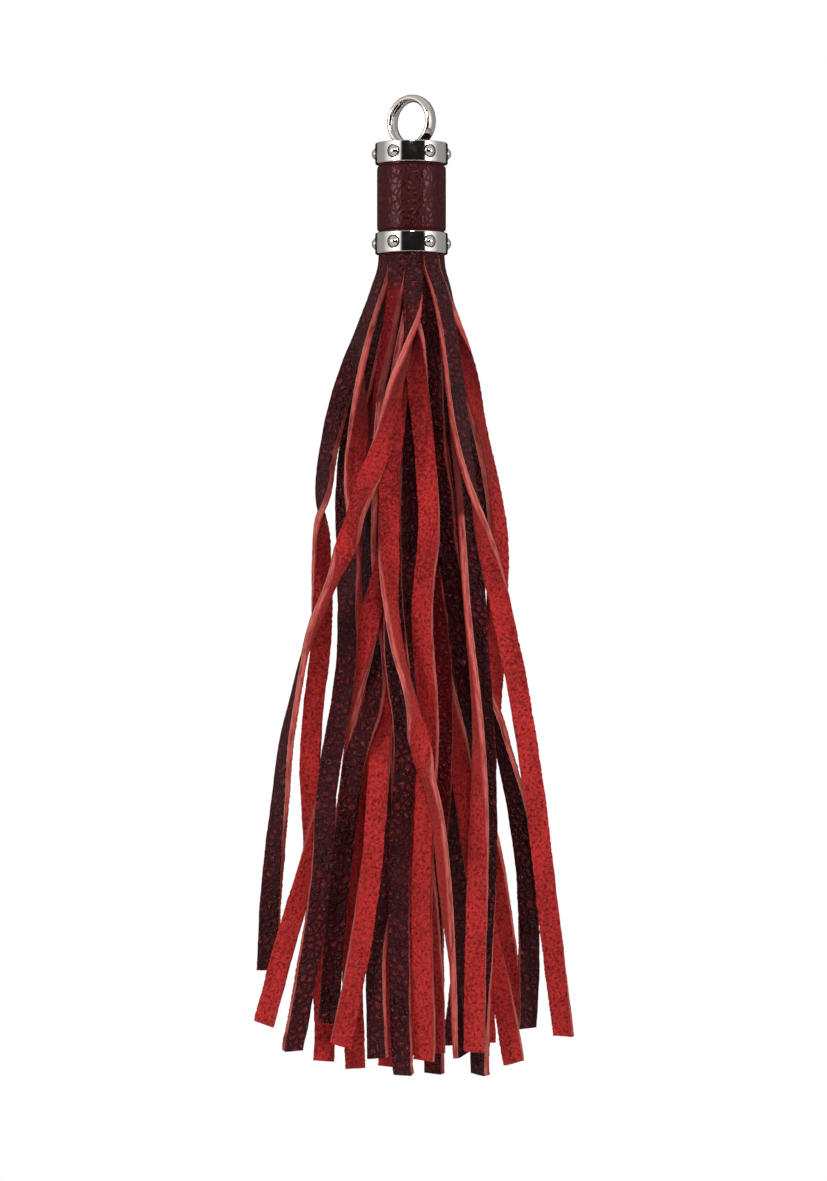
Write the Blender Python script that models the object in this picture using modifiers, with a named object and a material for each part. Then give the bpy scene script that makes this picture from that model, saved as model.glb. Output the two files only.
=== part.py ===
"""A leather tassel: a rolled leather head in two riveted metal bands, with a ring and cut strands.

Metres, +Z up, +X across and -Y the front. The origin is the inside top of the ring, where the
tassel hangs. Everything else is placed downwards from there.
"""

import math
from collections import namedtuple
from itertools import starmap

import bmesh
import bpy
import numpy as np
from mathutils import Matrix, Vector

GAP = 0.0003  # between pieces that touch on the real thing

# The ring: an oval section, wider along the ring's own axis than it is thick.
RING_INNER_RADIUS = 0.00515
RING_THICK = 0.00195
RING_BROAD = 0.0038
RING_TURN = math.radians(-36)  # about +Z, so that its right-hand side comes forward
RING_STEPS = 40
RING_SECTION_STEPS = 10
RING_SINK = 0.0015  # how far its foot stands below the upper band's rim
STEM_RADIUS = 0.0015
STEM_LENGTH = 0.0065

# The head: two bands round a leather wrap, over the rolled core that the strands are cut from.
BAND_RADIUS = 0.00943
BAND_WALL = 0.00063
BAND_HEIGHT = 0.00545
BAND_EDGE = 0.0003
BAND_SPACING = 0.0179  # between the two bands
WRAP_RADIUS = 0.00897
WRAP_INNER_RADIUS = 0.0078
WRAP_STEP = 0.0004  # height over which the wrap swells out between the bands
WRAP_RECESS = 0.0013  # its top edge below the upper band's rim
WRAP_LAP = 0.0028  # how far it reaches into the lower band
COLLAR_RADIUS = 0.00845
COLLAR_LENGTH = 0.0024  # below the lower band, down to where the cuts begin
TURN_STEPS = 48

# The rivets: a low dome on a shank, through each band.
RIVET_BEARINGS = (-150, -90, -30, 30, 90, 150)
RIVET_HEAD_RADIUS = 0.00155
RIVET_HEAD_HEIGHT = 0.0005
RIVET_LIFT = 0.00012  # of the head off the band, so that its flat back clears the curve
RIVET_SHANK_RADIUS = 0.00075
RIVET_STEPS = 12

# The strands: flat strips, narrow at the root and full size from FULL_WIDTH_DROP down.
STRAND_WIDTH = 0.0052
STRAND_THICK = 0.0019
ROOT_THICK = 0.0013
ROOT_DROP = -0.001  # roots start inside the collar
FULL_WIDTH_DROP = 0.034
STATION = 0.005  # between cross-sections down a strand

# How strands that touch settle apart, a little in each round.
STRAND_GAP = 0.0006
SETTLE_ROUNDS = 220
FINAL_ROUNDS = 30  # the last ones, with no more smoothing along the strands
SMOOTHING_EVERY = 4
SETTLE_SHARE = 0.9
LONGEST_PUSH = 0.0008
HELD_DROP = 0.002  # above this the roots keep their places
FREE_DROP = 0.008  # below this nothing holds a strand back

# Heights, from the ring down.
RING_CENTRE_Z = -RING_INNER_RADIUS
RING_FOOT_Z = -2 * RING_INNER_RADIUS - RING_THICK
TOP_BAND_TOP_Z = RING_FOOT_Z + RING_SINK
TOP_BAND_BOTTOM_Z = TOP_BAND_TOP_Z - BAND_HEIGHT
LOW_BAND_TOP_Z = TOP_BAND_BOTTOM_Z - BAND_SPACING
LOW_BAND_BOTTOM_Z = LOW_BAND_TOP_Z - BAND_HEIGHT
CORE_TOP_Z = RING_FOOT_Z - GAP
WRAP_TOP_Z = TOP_BAND_TOP_Z - WRAP_RECESS
WRAP_BOTTOM_Z = LOW_BAND_TOP_Z - WRAP_LAP
SKIRT_TOP_Z = LOW_BAND_BOTTOM_Z  # the strands' drops are measured from here

# Strands grow from four rings of roots. A bearing is a level direction in degrees: 0 is forward
# and 90 is right. A strand's root faces along its bearing.
RootRing = namedtuple("RootRing", "radius width")
OUTER = RootRing(0.0075, 0.0034)
MIDDLE = RootRing(0.0055, 0.0030)
INNER = RootRing(0.0034, 0.0026)
CENTRE = RootRing(0.0012, 0.0022)

# A strand has one row for each of its bends, from the root to the tip, in the columns of Bend:
# below the lower band, across to the right, toward the front, and the bearing that the smooth
# side of the leather faces.
Strand = namedtuple("Strand", "ring bearing bends")
Bend = namedtuple("Bend", "drop_mm across_mm toward_mm facing_deg")
MM = 0.001
STRANDS = (
    Strand(OUTER, -94, (
        (12, -10.3, 0, -80), (22.5, -13.1, 1, -45), (33, -16.6, 2, -18), (53.5, -21.1, 3.5, -45),
        (62, -22, 4, -54), (66.5, -22.7, 4, -86), (71, -22.8, 4, -118), (80, -22.9, 4, -140),
        (103, -23.6, 2, -178), (116, -25.2, 1, -184), (131.5, -26.3, 0, -196),
        (150, -25.6, -2, -200), (201.7, -22.6, -7, -185),
    )),
    Strand(OUTER, -61, (
        (17.5, -10.5, 7, -66), (24, -11.7, 8.5, -76), (34, -12.8, 10.4, -98),
        (43.5, -13, 12, -130), (56.5, -14.1, 13.5, -148), (66.5, -14.5, 13, -120),
        (77, -14.8, 13, -60), (92, -15.6, 15, -30), (104, -15.3, 16.6, -12), (115.5, -16.1, 18, 0),
        (126, -17.9, 19, 0), (141, -20.3, 20, 0), (156, -21.8, 21, 10), (186.5, -26.8, 23, 22),
        (204.1, -30.1, 24, 24),
    )),
    Strand(OUTER, -29, (
        (16.5, -4.5, 10.5, -58), (24.5, -5.3, 12, -62), (33.5, -7.1, 13.5, -75),
        (46.5, -8.6, 14, -80), (64, -9.6, 11, -72), (79.5, -10.6, 8, -62), (95, -10.5, 8.5, -50),
        (108, -9.8, 13.5, -42), (116, -10.1, 18, -32), (124, -12, 20, -20), (131.5, -14.2, 19.3, -2),
        (142, -15.7, 18.8, 0), (150, -16.9, 18.6, 0), (166.5, -18.9, 19, 0), (197.8, -21.3, 21, 5),
    )),
    Strand(OUTER, 4, (
        (12.5, 0.3, 11.5, -22), (26, -1.3, 16, -98), (33.5, -3.8, 18.5, -113),
        (48, -6.7, 21.5, -155), (60, -11.2, 24, -196), (66, -13.4, 25, -222),
        (71, -14.9, 25.2, -222), (74.5, -16, 25.1, -198), (78, -17.4, 25, -152),
        (81.5, -18.8, 24.8, -120), (87, -21, 24.2, -107), (96, -24.8, 23, -101),
        (105, -27.5, 21.8, -86), (115.5, -29.8, 20, -76), (125.5, -31.9, 18, -64),
        (138.5, -33.4, 16, -50), (169.5, -36.4, 11.5, -17), (185.1, -37.2, 10, -12),
    )),
    Strand(OUTER, 41, (
        (8.5, 6.8, 8, 42), (54, 13.9, 19, 62), (92.5, 23, 23, 172), (105, 25.6, 22.5, 182),
        (201.2, 39, 17.5, 155),
    )),
    Strand(OUTER, 77, (
        (9.5, 9.1, 2.5, 84), (24, 12.2, 4, 150), (31.5, 14.3, 4.5, 205), (40.5, 16.3, 5, 232),
        (75.5, 22.3, 6, 218), (90, 21.7, 6, 205), (104, 21, 5, 206), (118.5, 20.1, 3, 208),
        (130, 19.4, -2, 204), (142, 18.8, -6, 196), (182, 18.7, -11, 180), (206.3, 19.5, -13, 178),
    )),
    Strand(OUTER, 108.5, (
        (19.5, 10.8, -4.5, 90), (64, 17.6, -3, 0), (80, 17.4, 0, -40), (88, 17.3, 3, -78),
        (96, 17.3, 5, -90), (104, 17.8, 7.6, -90), (111, 19.3, 9.4, -88), (119.5, 22.4, 10.4, -84),
        (128.5, 23.9, 11, -58), (141, 26.8, 12, -34), (187.5, 30.1, 14, 24),
        (199.6, 29.5, 14, 34),
    )),
    Strand(OUTER, 140, (
        (11.5, 5.9, -8, 135), (45, 9.4, -16.5, 60), (70, 11.4, -17, 10), (95, 11, -17, 6),
        (142.5, 10.8, -10, 0), (155.5, 11.9, -9, 0), (189.5, 12.9, -8, 8), (206.5, 10.6, -8, 10),
    )),
    Strand(OUTER, 171.5, (
        (11, 0.9, -11, 172), (47.5, 3.3, -20.5, 205), (74, 4.9, -23, 190), (100.5, 4.4, -24, 160),
        (164.5, 0.1, -27, 165), (211.7, 1.2, -30, 186),
    )),
    Strand(OUTER, -157, (
        (11, -3.3, -10.5, -160), (47.5, -6.5, -19.5, -200), (100.5, -7.8, -20.5, -180),
        (127, -6.8, -19, -172), (159, -6, -20, -176), (213.7, -6.2, -22, -184),
    )),
    Strand(OUTER, -125.5, (
        (27, -10.1, -10.5, -140), (74, -15.2, -16, -176), (127, -13.4, -14, -192),
        (153, -15, -12.5, -186), (180, -15.6, -11.5, -182), (212.9, -14.8, -11, -180),
    )),
    Strand(MIDDLE, -80, (
        (12, -6.1, 0, -70), (22, -9.5, -1, -50), (43, -15.6, 0, -15), (64, -17.9, 6, -5),
        (77, -17.3, 8, -25), (90, -17.7, 9, -70), (115.5, -18, 9, -108),
        (128.5, -19.9, 9.5, -116), (138.5, -21.3, 10.5, -132), (146.5, -23, 12, -148),
        (158, -26.1, 15, -166), (169, -29.6, 18, -178), (197.6, -37.5, 23, -190),
    )),
    Strand(MIDDLE, -35, (
        (12.5, -2.5, 6, -60), (33, -3.5, 10.5, -130), (54, -6, 15.5, -176), (64.5, -6.1, 18, -180),
        (78, -6, 20.5, -152), (90, -5.5, 22.5, -120), (101, -3.9, 23.5, -110), (115, -0.3, 24.5, -106),
        (121, 0.9, 24.8, -122), (126.5, 2.2, 25, -178), (132, 3.5, 25.2, -234),
        (142, 6.2, 25.4, -248), (155, 7.9, 25.1, -248), (163, 8.7, 24.8, -250),
        (181, 10.4, 24, -268), (205.6, 12.9, 21.5, -308),
    )),
    Strand(MIDDLE, 8, (
        (15, 0.4, 8, 90), (32, 0.8, 12.5, 162), (51.5, 3.1, 16, 178), (70.5, 4.5, 19.5, 158),
        (91, 2.8, 21, 154), (124, 3.9, 20.5, 150), (135.5, 3.2, 20.5, 156), (173.5, 1.3, 22.5, 156),
        (207, 2.9, 22.5, 156),
    )),
    Strand(MIDDLE, 50, (
        (10, 4.1, 6.5, 10), (23, 5.2, 9.5, -24), (33.5, 5.4, 11.5, -16), (54, 6.8, 13, -25),
        (64, 8.6, 13.5, -18), (74.5, 9.2, 13.5, -22), (87.5, 10.7, 12, -12), (126, 15.1, 5, 40),
        (149.5, 19.9, 1.5, 130), (199.6, 27.4, 2.5, 158),
    )),
    Strand(MIDDLE, 95, (
        (9.5, 5.8, 1.5, 92), (22.5, 7.9, 5, 92), (64, 11.5, 15.5, 90), (100, 14.9, 20, 92),
        (112.5, 16.3, 21, 98), (186, 16.2, 26, 168), (204.3, 16, 26, 158),
    )),
    Strand(MIDDLE, 140, (
        (22, 5.1, -5.5, 115), (53.5, 6.8, -4.5, 92), (84.5, 7.9, 0, 92), (113, 9.9, 9, 120),
        (122, 11.5, 10.5, 134), (144, 13.9, 12.5, 186), (168, 17.6, 12.5, 190),
        (192, 22.7, 19.5, 158), (207.6, 25.9, 22, 154),
    )),
    Strand(MIDDLE, -175, (
        (11.5, -1.4, -7, -175), (48, -1.4, -11, -140), (74, -1.6, -13, -160),
        (100.5, -1.7, -14, -178), (132, 2.6, -16, -196), (185, 3.2, -20, -184),
        (206, 3.4, -20.5, -180),
    )),
    Strand(MIDDLE, -130, (
        (11.5, -3.3, -4.5, -140), (27, -3, -6, -150), (48, -2.7, -6.5, -150),
        (84.5, -4.3, -2, -60), (128.5, -7.4, 11, -24), (153.5, -6.5, 14.5, -14),
        (164, -6.1, 17, -20), (181.5, -7.8, 21, -34), (206.3, -8.4, 22.5, -26),
    )),
    Strand(INNER, -52, (
        (25, -2.5, 5, -40), (48.5, -4.5, 9.5, -24), (74.5, -4.6, 14.5, 4), (102.5, -4.3, 16.5, 12),
        (113, -3.4, 17.5, 12), (141, -2.7, 20, 4), (156, -3.2, 21, 0), (210.4, -2, 22, -24),
    )),
    Strand(INNER, 20, (
        (38, 0.4, 7.5, 2), (48.5, -0.3, 11.5, 12), (58, -0.9, 13.5, 24), (79.5, -1, 16.5, 10),
        (92.5, -1, 17, 8), (115.5, 0.5, 14, 26), (166.5, 4.1, 14.5, 146), (192, 5.8, 18, 154),
        (205.4, 6, 19, 150),
    )),
    Strand(INNER, 92, (
        (12, 4.5, 0, 86), (48.5, 11, 8.5, 28), (77, 14.8, 13.5, 15), (90, 15.8, 15, 16),
        (146, 19.3, 18.5, 4), (161.5, 19.1, 18.5, 0), (210.8, 17.5, 18.5, -48),
    )),
    Strand(INNER, 164, (
        (11.5, 0.7, -4, 160), (48, 3.3, -3.5, 120), (74, 5.9, -4.5, 118), (100.5, 6.4, -6, 140),
        (126.5, 4.8, -8, 165), (179.5, 0.1, -12, 192), (203.1, -1.4, -13, 196),
    )),
    Strand(INNER, -124, (
        (11.5, -2.5, -2.5, -126), (48.5, -2.5, 1, -150), (87.5, -4.5, 8, -192),
        (113, -6.5, 16, -208), (133, -9.1, 20.7, -198), (156, -10.4, 23, -174),
        (176, -12.9, 24, -160), (203, -18, 24, -168),
    )),
    Strand(CENTRE, 90, (
        (12, 1.9, 1, 80), (25, 2.5, 1, 62), (72, 4.8, 8, 10), (84.5, 5.5, 10.5, 2),
        (97.5, 7.3, 13, -4), (110.5, 7.8, 14, -8), (136, 8, 12.5, -12), (164.5, 5.6, 10, -16),
        (177.5, 5.6, 9.5, -18), (211.8, 5.8, 8.5, -34),
    )),
    Strand(CENTRE, -90, (
        (56, -4.1, 5, -150), (69, -5.1, 8.5, -166), (81, -6.3, 12.3, -180), (100, -10, 16.5, -196),
        (115.5, -13.2, 16, -246), (136, -17.1, 14.2, -268), (146, -18.6, 13, -264),
        (172, -21.2, 11.5, -225), (187.5, -21.7, 11, -192), (208.4, -22.5, 11, -182),
    )),
)

LEATHER = {"name": "grained_leather", "color": (0.045, 0.009, 0.012), "roughness": 0.5, "metallic": 0}
SUEDE = {"name": "cut_leather", "color": (0.32, 0.012, 0.012), "roughness": 0.85, "metallic": 0}
CHROME = {"name": "chrome", "color": (0.62, 0.6, 0.57), "roughness": 0.12, "metallic": 1}


def clear_scene():
    for obj in list(bpy.data.objects):
        bpy.data.objects.remove(obj)


def add_collection(name):
    collection = bpy.data.collections.new(name)
    bpy.context.scene.collection.children.link(collection)
    return collection


def add_material(name, color, roughness, metallic):
    material = bpy.data.materials.new(name)
    material.use_nodes = True
    shader = material.node_tree.nodes["Principled BSDF"]
    shader.inputs["Base Color"].default_value = (*color, 1)
    shader.inputs["Roughness"].default_value = roughness
    shader.inputs["Metallic"].default_value = metallic
    return material


def add_object(name, mesh, collection, material=None):
    obj = bpy.data.objects.new(name, mesh)
    collection.objects.link(obj)
    if material:
        mesh.materials.append(material)
    return obj


def add_cutter(name, bm, collection):
    """A mesh that only cuts or joins, so it is left out of the part."""
    mesh = bpy.data.meshes.new(name)
    bm.to_mesh(mesh)
    bm.free()
    cutter = add_object(name, mesh, collection)
    cutter.hide_render = True
    cutter.display_type = "WIRE"
    return cutter


def add_turned(name, profile, steps, collection, material):
    """Turns a profile of (radius, z) about +Z. It runs down the outer side."""
    closed = profile[0][0] > 0
    mesh = bpy.data.meshes.new(name)
    points = [(radius, 0, z) for radius, z in profile]
    edges = [(k, k + 1) for k in range(len(points) - 1)]
    if closed:
        edges.append((len(points) - 1, 0))
    mesh.from_pydata(points, edges, [])
    obj = add_object(name, mesh, collection, material)
    screw = obj.modifiers.new("turn", "SCREW")
    screw.steps = steps
    screw.render_steps = steps
    screw.use_merge_vertices = True
    screw.merge_threshold = 0.00001
    screw.use_smooth_shade = True
    return obj


def combine(obj, other, operation):
    boolean = obj.modifiers.new(other.name, "BOOLEAN")
    boolean.object = other
    boolean.operation = operation


def outward(bearing, radius, z):
    """Turns an object's +Z to point outward along a bearing, and sets it out there."""
    angle = math.radians(bearing)
    direction = Vector((math.sin(angle), -math.cos(angle), 0))
    turn = direction.to_track_quat("Z", "Y").to_matrix().to_4x4()
    return Matrix.Translation(direction * radius + Vector((0, 0, z))) @ turn


def arc(centre, radius, start, end, steps):
    """Points of a rounded corner in a profile, at angles from +radius towards +z."""
    angles = [math.radians(start + (end - start) * k / steps) for k in range(steps + 1)]
    return [(centre[0] + radius * math.cos(a), centre[1] + radius * math.sin(a)) for a in angles]


def add_ring(collection, cutters, material):
    """The hanging ring, upright and turned, with a stem that goes down into the core."""
    bpy.ops.mesh.primitive_torus_add(
        major_radius=RING_INNER_RADIUS + RING_THICK / 2,
        minor_radius=RING_THICK / 2,
        major_segments=RING_STEPS,
        minor_segments=RING_SECTION_STEPS,
    )
    ring = bpy.context.object
    ring.name = "ring"
    for owner in list(ring.users_collection):
        owner.objects.unlink(ring)
    collection.objects.link(ring)
    broaden = Matrix.Diagonal((1, 1, RING_BROAD / RING_THICK, 1))
    upright = Matrix.Rotation(math.radians(90), 4, "X")
    ring.data.transform(Matrix.Rotation(RING_TURN, 4, "Z") @ upright @ broaden)
    ring.data.materials.append(material)
    ring.data.shade_smooth()
    ring.location.z = RING_CENTRE_Z

    stem = bmesh.new()
    top_z = RING_FOOT_Z + RING_THICK / 2
    middle = Matrix.Translation((0, 0, top_z - (STEM_LENGTH + RING_THICK / 2) / 2))
    bmesh.ops.create_cone(
        stem, cap_ends=True, segments=16, radius1=STEM_RADIUS, radius2=STEM_RADIUS,
        depth=STEM_LENGTH + RING_THICK / 2, matrix=middle,
    )
    combine(ring, add_cutter("ring_stem", stem, cutters), "UNION")


def add_band(name, bottom_z, collection, cutters, material):
    """A band with rounded edges and a hole for each rivet."""
    inner_radius = BAND_RADIUS - BAND_WALL
    top_z = bottom_z + BAND_HEIGHT
    edge_radius = BAND_RADIUS - BAND_EDGE
    profile = [(inner_radius, top_z)]
    profile += arc((edge_radius, top_z - BAND_EDGE), BAND_EDGE, 90, 0, 3)
    profile += arc((edge_radius, bottom_z + BAND_EDGE), BAND_EDGE, 0, -90, 3)
    profile += [(inner_radius, bottom_z)]
    band = add_turned(name, profile, TURN_STEPS, collection, material)
    holes = bmesh.new()
    for bearing in RIVET_BEARINGS:
        bmesh.ops.create_cone(
            holes, cap_ends=True, segments=10, radius1=RIVET_SHANK_RADIUS + GAP,
            radius2=RIVET_SHANK_RADIUS + GAP, depth=4 * BAND_WALL,
            matrix=outward(bearing, BAND_RADIUS - BAND_WALL / 2, bottom_z + BAND_HEIGHT / 2),
        )
    combine(band, add_cutter(name + "_holes", holes, cutters), "DIFFERENCE")


def add_rivets(name, bottom_z, collection, material):
    """Domed heads a little off the band, each on a shank as long as the band is thick."""
    cap_radius = (RIVET_HEAD_RADIUS**2 + RIVET_HEAD_HEIGHT**2) / (2 * RIVET_HEAD_HEIGHT)
    rim_angle = math.degrees(math.asin(RIVET_HEAD_RADIUS / cap_radius))
    profile = arc((0, RIVET_HEAD_HEIGHT - cap_radius), cap_radius, 90, 90 - rim_angle, 3)
    shank_end_z = -RIVET_LIFT - BAND_WALL
    profile[0] = (0, RIVET_HEAD_HEIGHT)
    profile += [(RIVET_SHANK_RADIUS, 0), (RIVET_SHANK_RADIUS, shank_end_z), (0, shank_end_z)]
    for number, bearing in enumerate(RIVET_BEARINGS, 1):
        rivet = add_turned(f"{name}_{number}", profile, RIVET_STEPS, collection, material)
        rivet.matrix_world = outward(bearing, BAND_RADIUS + RIVET_LIFT, bottom_z + BAND_HEIGHT / 2)


def add_wrap(collection, material):
    """The leather sleeve round the core. It swells to its full radius between the bands."""
    under_band = BAND_RADIUS - BAND_WALL - GAP
    profile = (
        (WRAP_INNER_RADIUS, WRAP_TOP_Z),
        (under_band, WRAP_TOP_Z),
        (under_band, TOP_BAND_BOTTOM_Z - GAP),
        (WRAP_RADIUS, TOP_BAND_BOTTOM_Z - GAP - WRAP_STEP),
        (WRAP_RADIUS, LOW_BAND_TOP_Z + GAP + WRAP_STEP),
        (under_band, LOW_BAND_TOP_Z + GAP),
        (under_band, WRAP_BOTTOM_Z),
        (WRAP_INNER_RADIUS, WRAP_BOTTOM_Z),
    )
    add_turned("head_wrap", profile, TURN_STEPS, collection, material)


def add_core(collection, material):
    """The rolled leather inside the wrap, with a bore for the ring's stem and a collar below."""
    core_radius = WRAP_INNER_RADIUS - GAP
    bore_radius = STEM_RADIUS + GAP
    bore_end_z = RING_FOOT_Z - STEM_LENGTH - GAP
    collar_top_z = WRAP_BOTTOM_Z - GAP
    collar_bottom_z = SKIRT_TOP_Z - COLLAR_LENGTH
    profile = (
        (0, bore_end_z),
        (bore_radius, bore_end_z),
        (bore_radius, CORE_TOP_Z),
        (core_radius, CORE_TOP_Z),
        (core_radius, collar_top_z),
        (COLLAR_RADIUS, collar_top_z),
        (COLLAR_RADIUS, collar_bottom_z),
        (0, collar_bottom_z),
    )
    return add_turned("skirt", profile, TURN_STEPS, collection, material)


def along(rows, drops):
    """The rows' columns at the given drops, on a smooth curve through every row."""
    row_drops = rows[:, 0]
    values = rows[:, 1:]
    slopes = np.gradient(values, row_drops, axis=0)
    first = np.clip(np.searchsorted(row_drops, drops) - 1, 0, len(rows) - 2)
    span = (row_drops[first + 1] - row_drops[first])[:, None]
    s = (drops - row_drops[first])[:, None] / span
    start = (2 * s**3 - 3 * s**2 + 1) * values[first] + (s**3 - 2 * s**2 + s) * span * slopes[first]
    end = (3 * s**2 - 2 * s**3) * values[first + 1] + (s**3 - s**2) * span * slopes[first + 1]
    return start + end


def lay_out(strands):
    """Where each strand's cross-sections lie before they settle.

    Returns the stations' drops, then for each strand and station: its (across, toward) place,
    its facing, its half (width, thickness), and whether the strand reaches that far.
    """
    longest = max(strand.bends[-1][0] for strand in strands) * MM
    drops = np.arange(ROOT_DROP, longest + STATION, STATION)
    shape = (len(strands), len(drops))
    place = np.zeros((*shape, 2))
    facing = np.zeros(shape)
    half = np.zeros((*shape, 2))
    reached = np.zeros(shape, bool)
    for k, strand in enumerate(strands):
        bearing = math.radians(strand.bearing)
        root = (strand.ring.radius * math.sin(bearing), strand.ring.radius * math.cos(bearing))
        rows = [(ROOT_DROP, *root, bearing), (COLLAR_LENGTH, *root, bearing)]
        for bend in starmap(Bend, strand.bends):
            place_m = (bend.drop_mm * MM, bend.across_mm * MM, bend.toward_mm * MM)
            rows.append((*place_m, math.radians(bend.facing_deg)))
        tip = rows[-1][0]
        columns = along(np.array(rows), np.minimum(drops, tip))
        place[k] = columns[:, :2]
        facing[k] = columns[:, 2]
        grown = np.clip(drops / FULL_WIDTH_DROP, 0, 1)
        grown = grown * grown * (3 - 2 * grown)
        half[k, :, 0] = (strand.ring.width + (STRAND_WIDTH - strand.ring.width) * grown) / 2
        half[k, :, 1] = (ROOT_THICK + (STRAND_THICK - ROOT_THICK) * grown) / 2
        reached[k] = drops < tip + STATION
    return drops, place, facing, half, reached


def smoothed(values, times=1):
    """Each station's value averaged with its neighbours' along the strand."""
    for _ in range(times):
        inner = (values[:, :-2] + 2 * values[:, 1:-1] + values[:, 2:]) / 4
        values = np.concatenate([values[:, :1], inner, values[:, -1:]], axis=1)
    return values


def settle(drops, place, facing, half, reached):
    """Moves strands apart where they would pass through each other, mostly in depth.

    At each station a strand's level section is a rectangle. Two rectangles are apart if they are
    apart along one of their own sides' directions, and the largest of those gaps is used.
    """
    one, other = np.triu_indices(len(place), 1)
    wide = np.stack([np.cos(facing), -np.sin(facing)], -1)
    face = np.stack([np.sin(facing), np.cos(facing)], -1)
    free = np.clip((drops - HELD_DROP) / (FREE_DROP - HELD_DROP), 0, 1)[:, None]
    moved = np.zeros_like(place)
    for round_number in range(SETTLE_ROUNDS):
        now = place + moved
        slope = np.gradient(now, drops, axis=1)
        lean = np.stack([(slope * wide).sum(-1), (slope * face).sum(-1)], -1)
        level_half = half * np.sqrt(1 + lean**2)
        apart = now[other] - now[one]
        widest = np.full(apart.shape[:2], -1.0)
        way = np.zeros_like(apart)
        for axis in (wide[one], face[one], wide[other], face[other]):
            reach = 0
            for side in (one, other):
                reach = reach + level_half[side, :, 0] * abs((axis * wide[side]).sum(-1))
                reach = reach + level_half[side, :, 1] * abs((axis * face[side]).sum(-1))
            clear = abs((apart * axis).sum(-1)) - reach - STRAND_GAP
            way = np.where((clear > widest)[..., None], axis, way)
            widest = np.maximum(widest, clear)
        overlap = np.where(reached[one] & reached[other], np.maximum(-widest, 0), 0)
        if not overlap.any():
            break
        way = way * np.where((apart * way).sum(-1) < 0, -1, 1)[..., None]
        deep = abs(way[..., 1]) > 0.5
        in_depth = np.stack([np.zeros_like(overlap), 1 / np.where(deep, way[..., 1], 1)], -1)
        push = overlap[..., None] / 2 * np.where(deep[..., None], in_depth, way)
        push[..., 1] = np.clip(push[..., 1], -LONGEST_PUSH, LONGEST_PUSH)
        step = np.zeros_like(place)
        np.add.at(step, other, push)
        np.add.at(step, one, -push)
        moved += SETTLE_SHARE * smoothed(step, 3) * free
        more_to_come = round_number < SETTLE_ROUNDS - FINAL_ROUNDS
        if more_to_come and round_number % SMOOTHING_EVERY == SMOOTHING_EVERY - 1:
            moved = smoothed(moved)
    return place + moved


def add_strip(bm, drops, place, facing, half):
    """One strand, as a four-sided strip lofted through its sections, which lie square to it."""
    path = np.column_stack([place[:, 0], -place[:, 1], SKIRT_TOP_Z - drops])
    along_path = np.gradient(path, axis=0)
    along_path /= np.linalg.norm(along_path, axis=1)[:, None]
    wide = np.column_stack([np.cos(facing), np.sin(facing), 0 * facing])
    wide -= along_path * (wide * along_path).sum(1)[:, None]
    wide /= np.linalg.norm(wide, axis=1)[:, None]
    face = np.cross(along_path, wide)
    sections = []
    for point, w, f, (half_width, half_thick) in zip(path, wide, face, half):
        signs = ((1, 1), (-1, 1), (-1, -1), (1, -1))
        ring = [point + a * half_width * w + b * half_thick * f for a, b in signs]
        sections.append([bm.verts.new(corner) for corner in ring])
    for upper, lower in zip(sections, sections[1:]):
        for k in range(4):
            bm.faces.new((upper[k], upper[k - 1], lower[k - 1], lower[k]))
    bm.faces.new(sections[0])
    bm.faces.new(reversed(sections[-1]))


def add_skirt(collection, cutters, material):
    """The core and every strand in one piece, because they are cut from the same roll."""
    drops, place, facing, half, reached = lay_out(STRANDS)
    place = settle(drops, place, facing, half, reached)
    bundle = bmesh.new()
    for k, strand in enumerate(STRANDS):
        count = reached[k].sum()
        tip = strand.bends[-1][0] * MM
        strip_drops = np.minimum(drops[:count], tip)
        add_strip(bundle, strip_drops, place[k, :count], facing[k, :count], half[k, :count])
    bmesh.ops.recalc_face_normals(bundle, faces=bundle.faces)
    skirt = add_core(collection, material)
    combine(skirt, add_cutter("strands", bundle, cutters), "UNION")


def main():
    clear_scene()
    parts = add_collection("leather_tassel")
    cutters = add_collection("cutters")
    leather = add_material(**LEATHER)
    suede = add_material(**SUEDE)
    chrome = add_material(**CHROME)
    add_ring(parts, cutters, chrome)
    add_wrap(parts, leather)
    for name, bottom_z in (("top", TOP_BAND_BOTTOM_Z), ("bottom", LOW_BAND_BOTTOM_Z)):
        add_band("band_" + name, bottom_z, parts, cutters, chrome)
        add_rivets("rivet_" + name, bottom_z, parts, chrome)
    add_skirt(parts, cutters, suede)


main()
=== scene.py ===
"""A leather tassel: cut strands below a rolled and wrapped head, two riveted bands and a ring.

Metres, in the frame's own place: +Z up, +X across, -Y the front, the origin where the ring hangs.
"""

import math
from collections import namedtuple
from itertools import starmap

import bmesh
import bpy
import numpy as np
from mathutils import Matrix, Vector, noise


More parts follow.
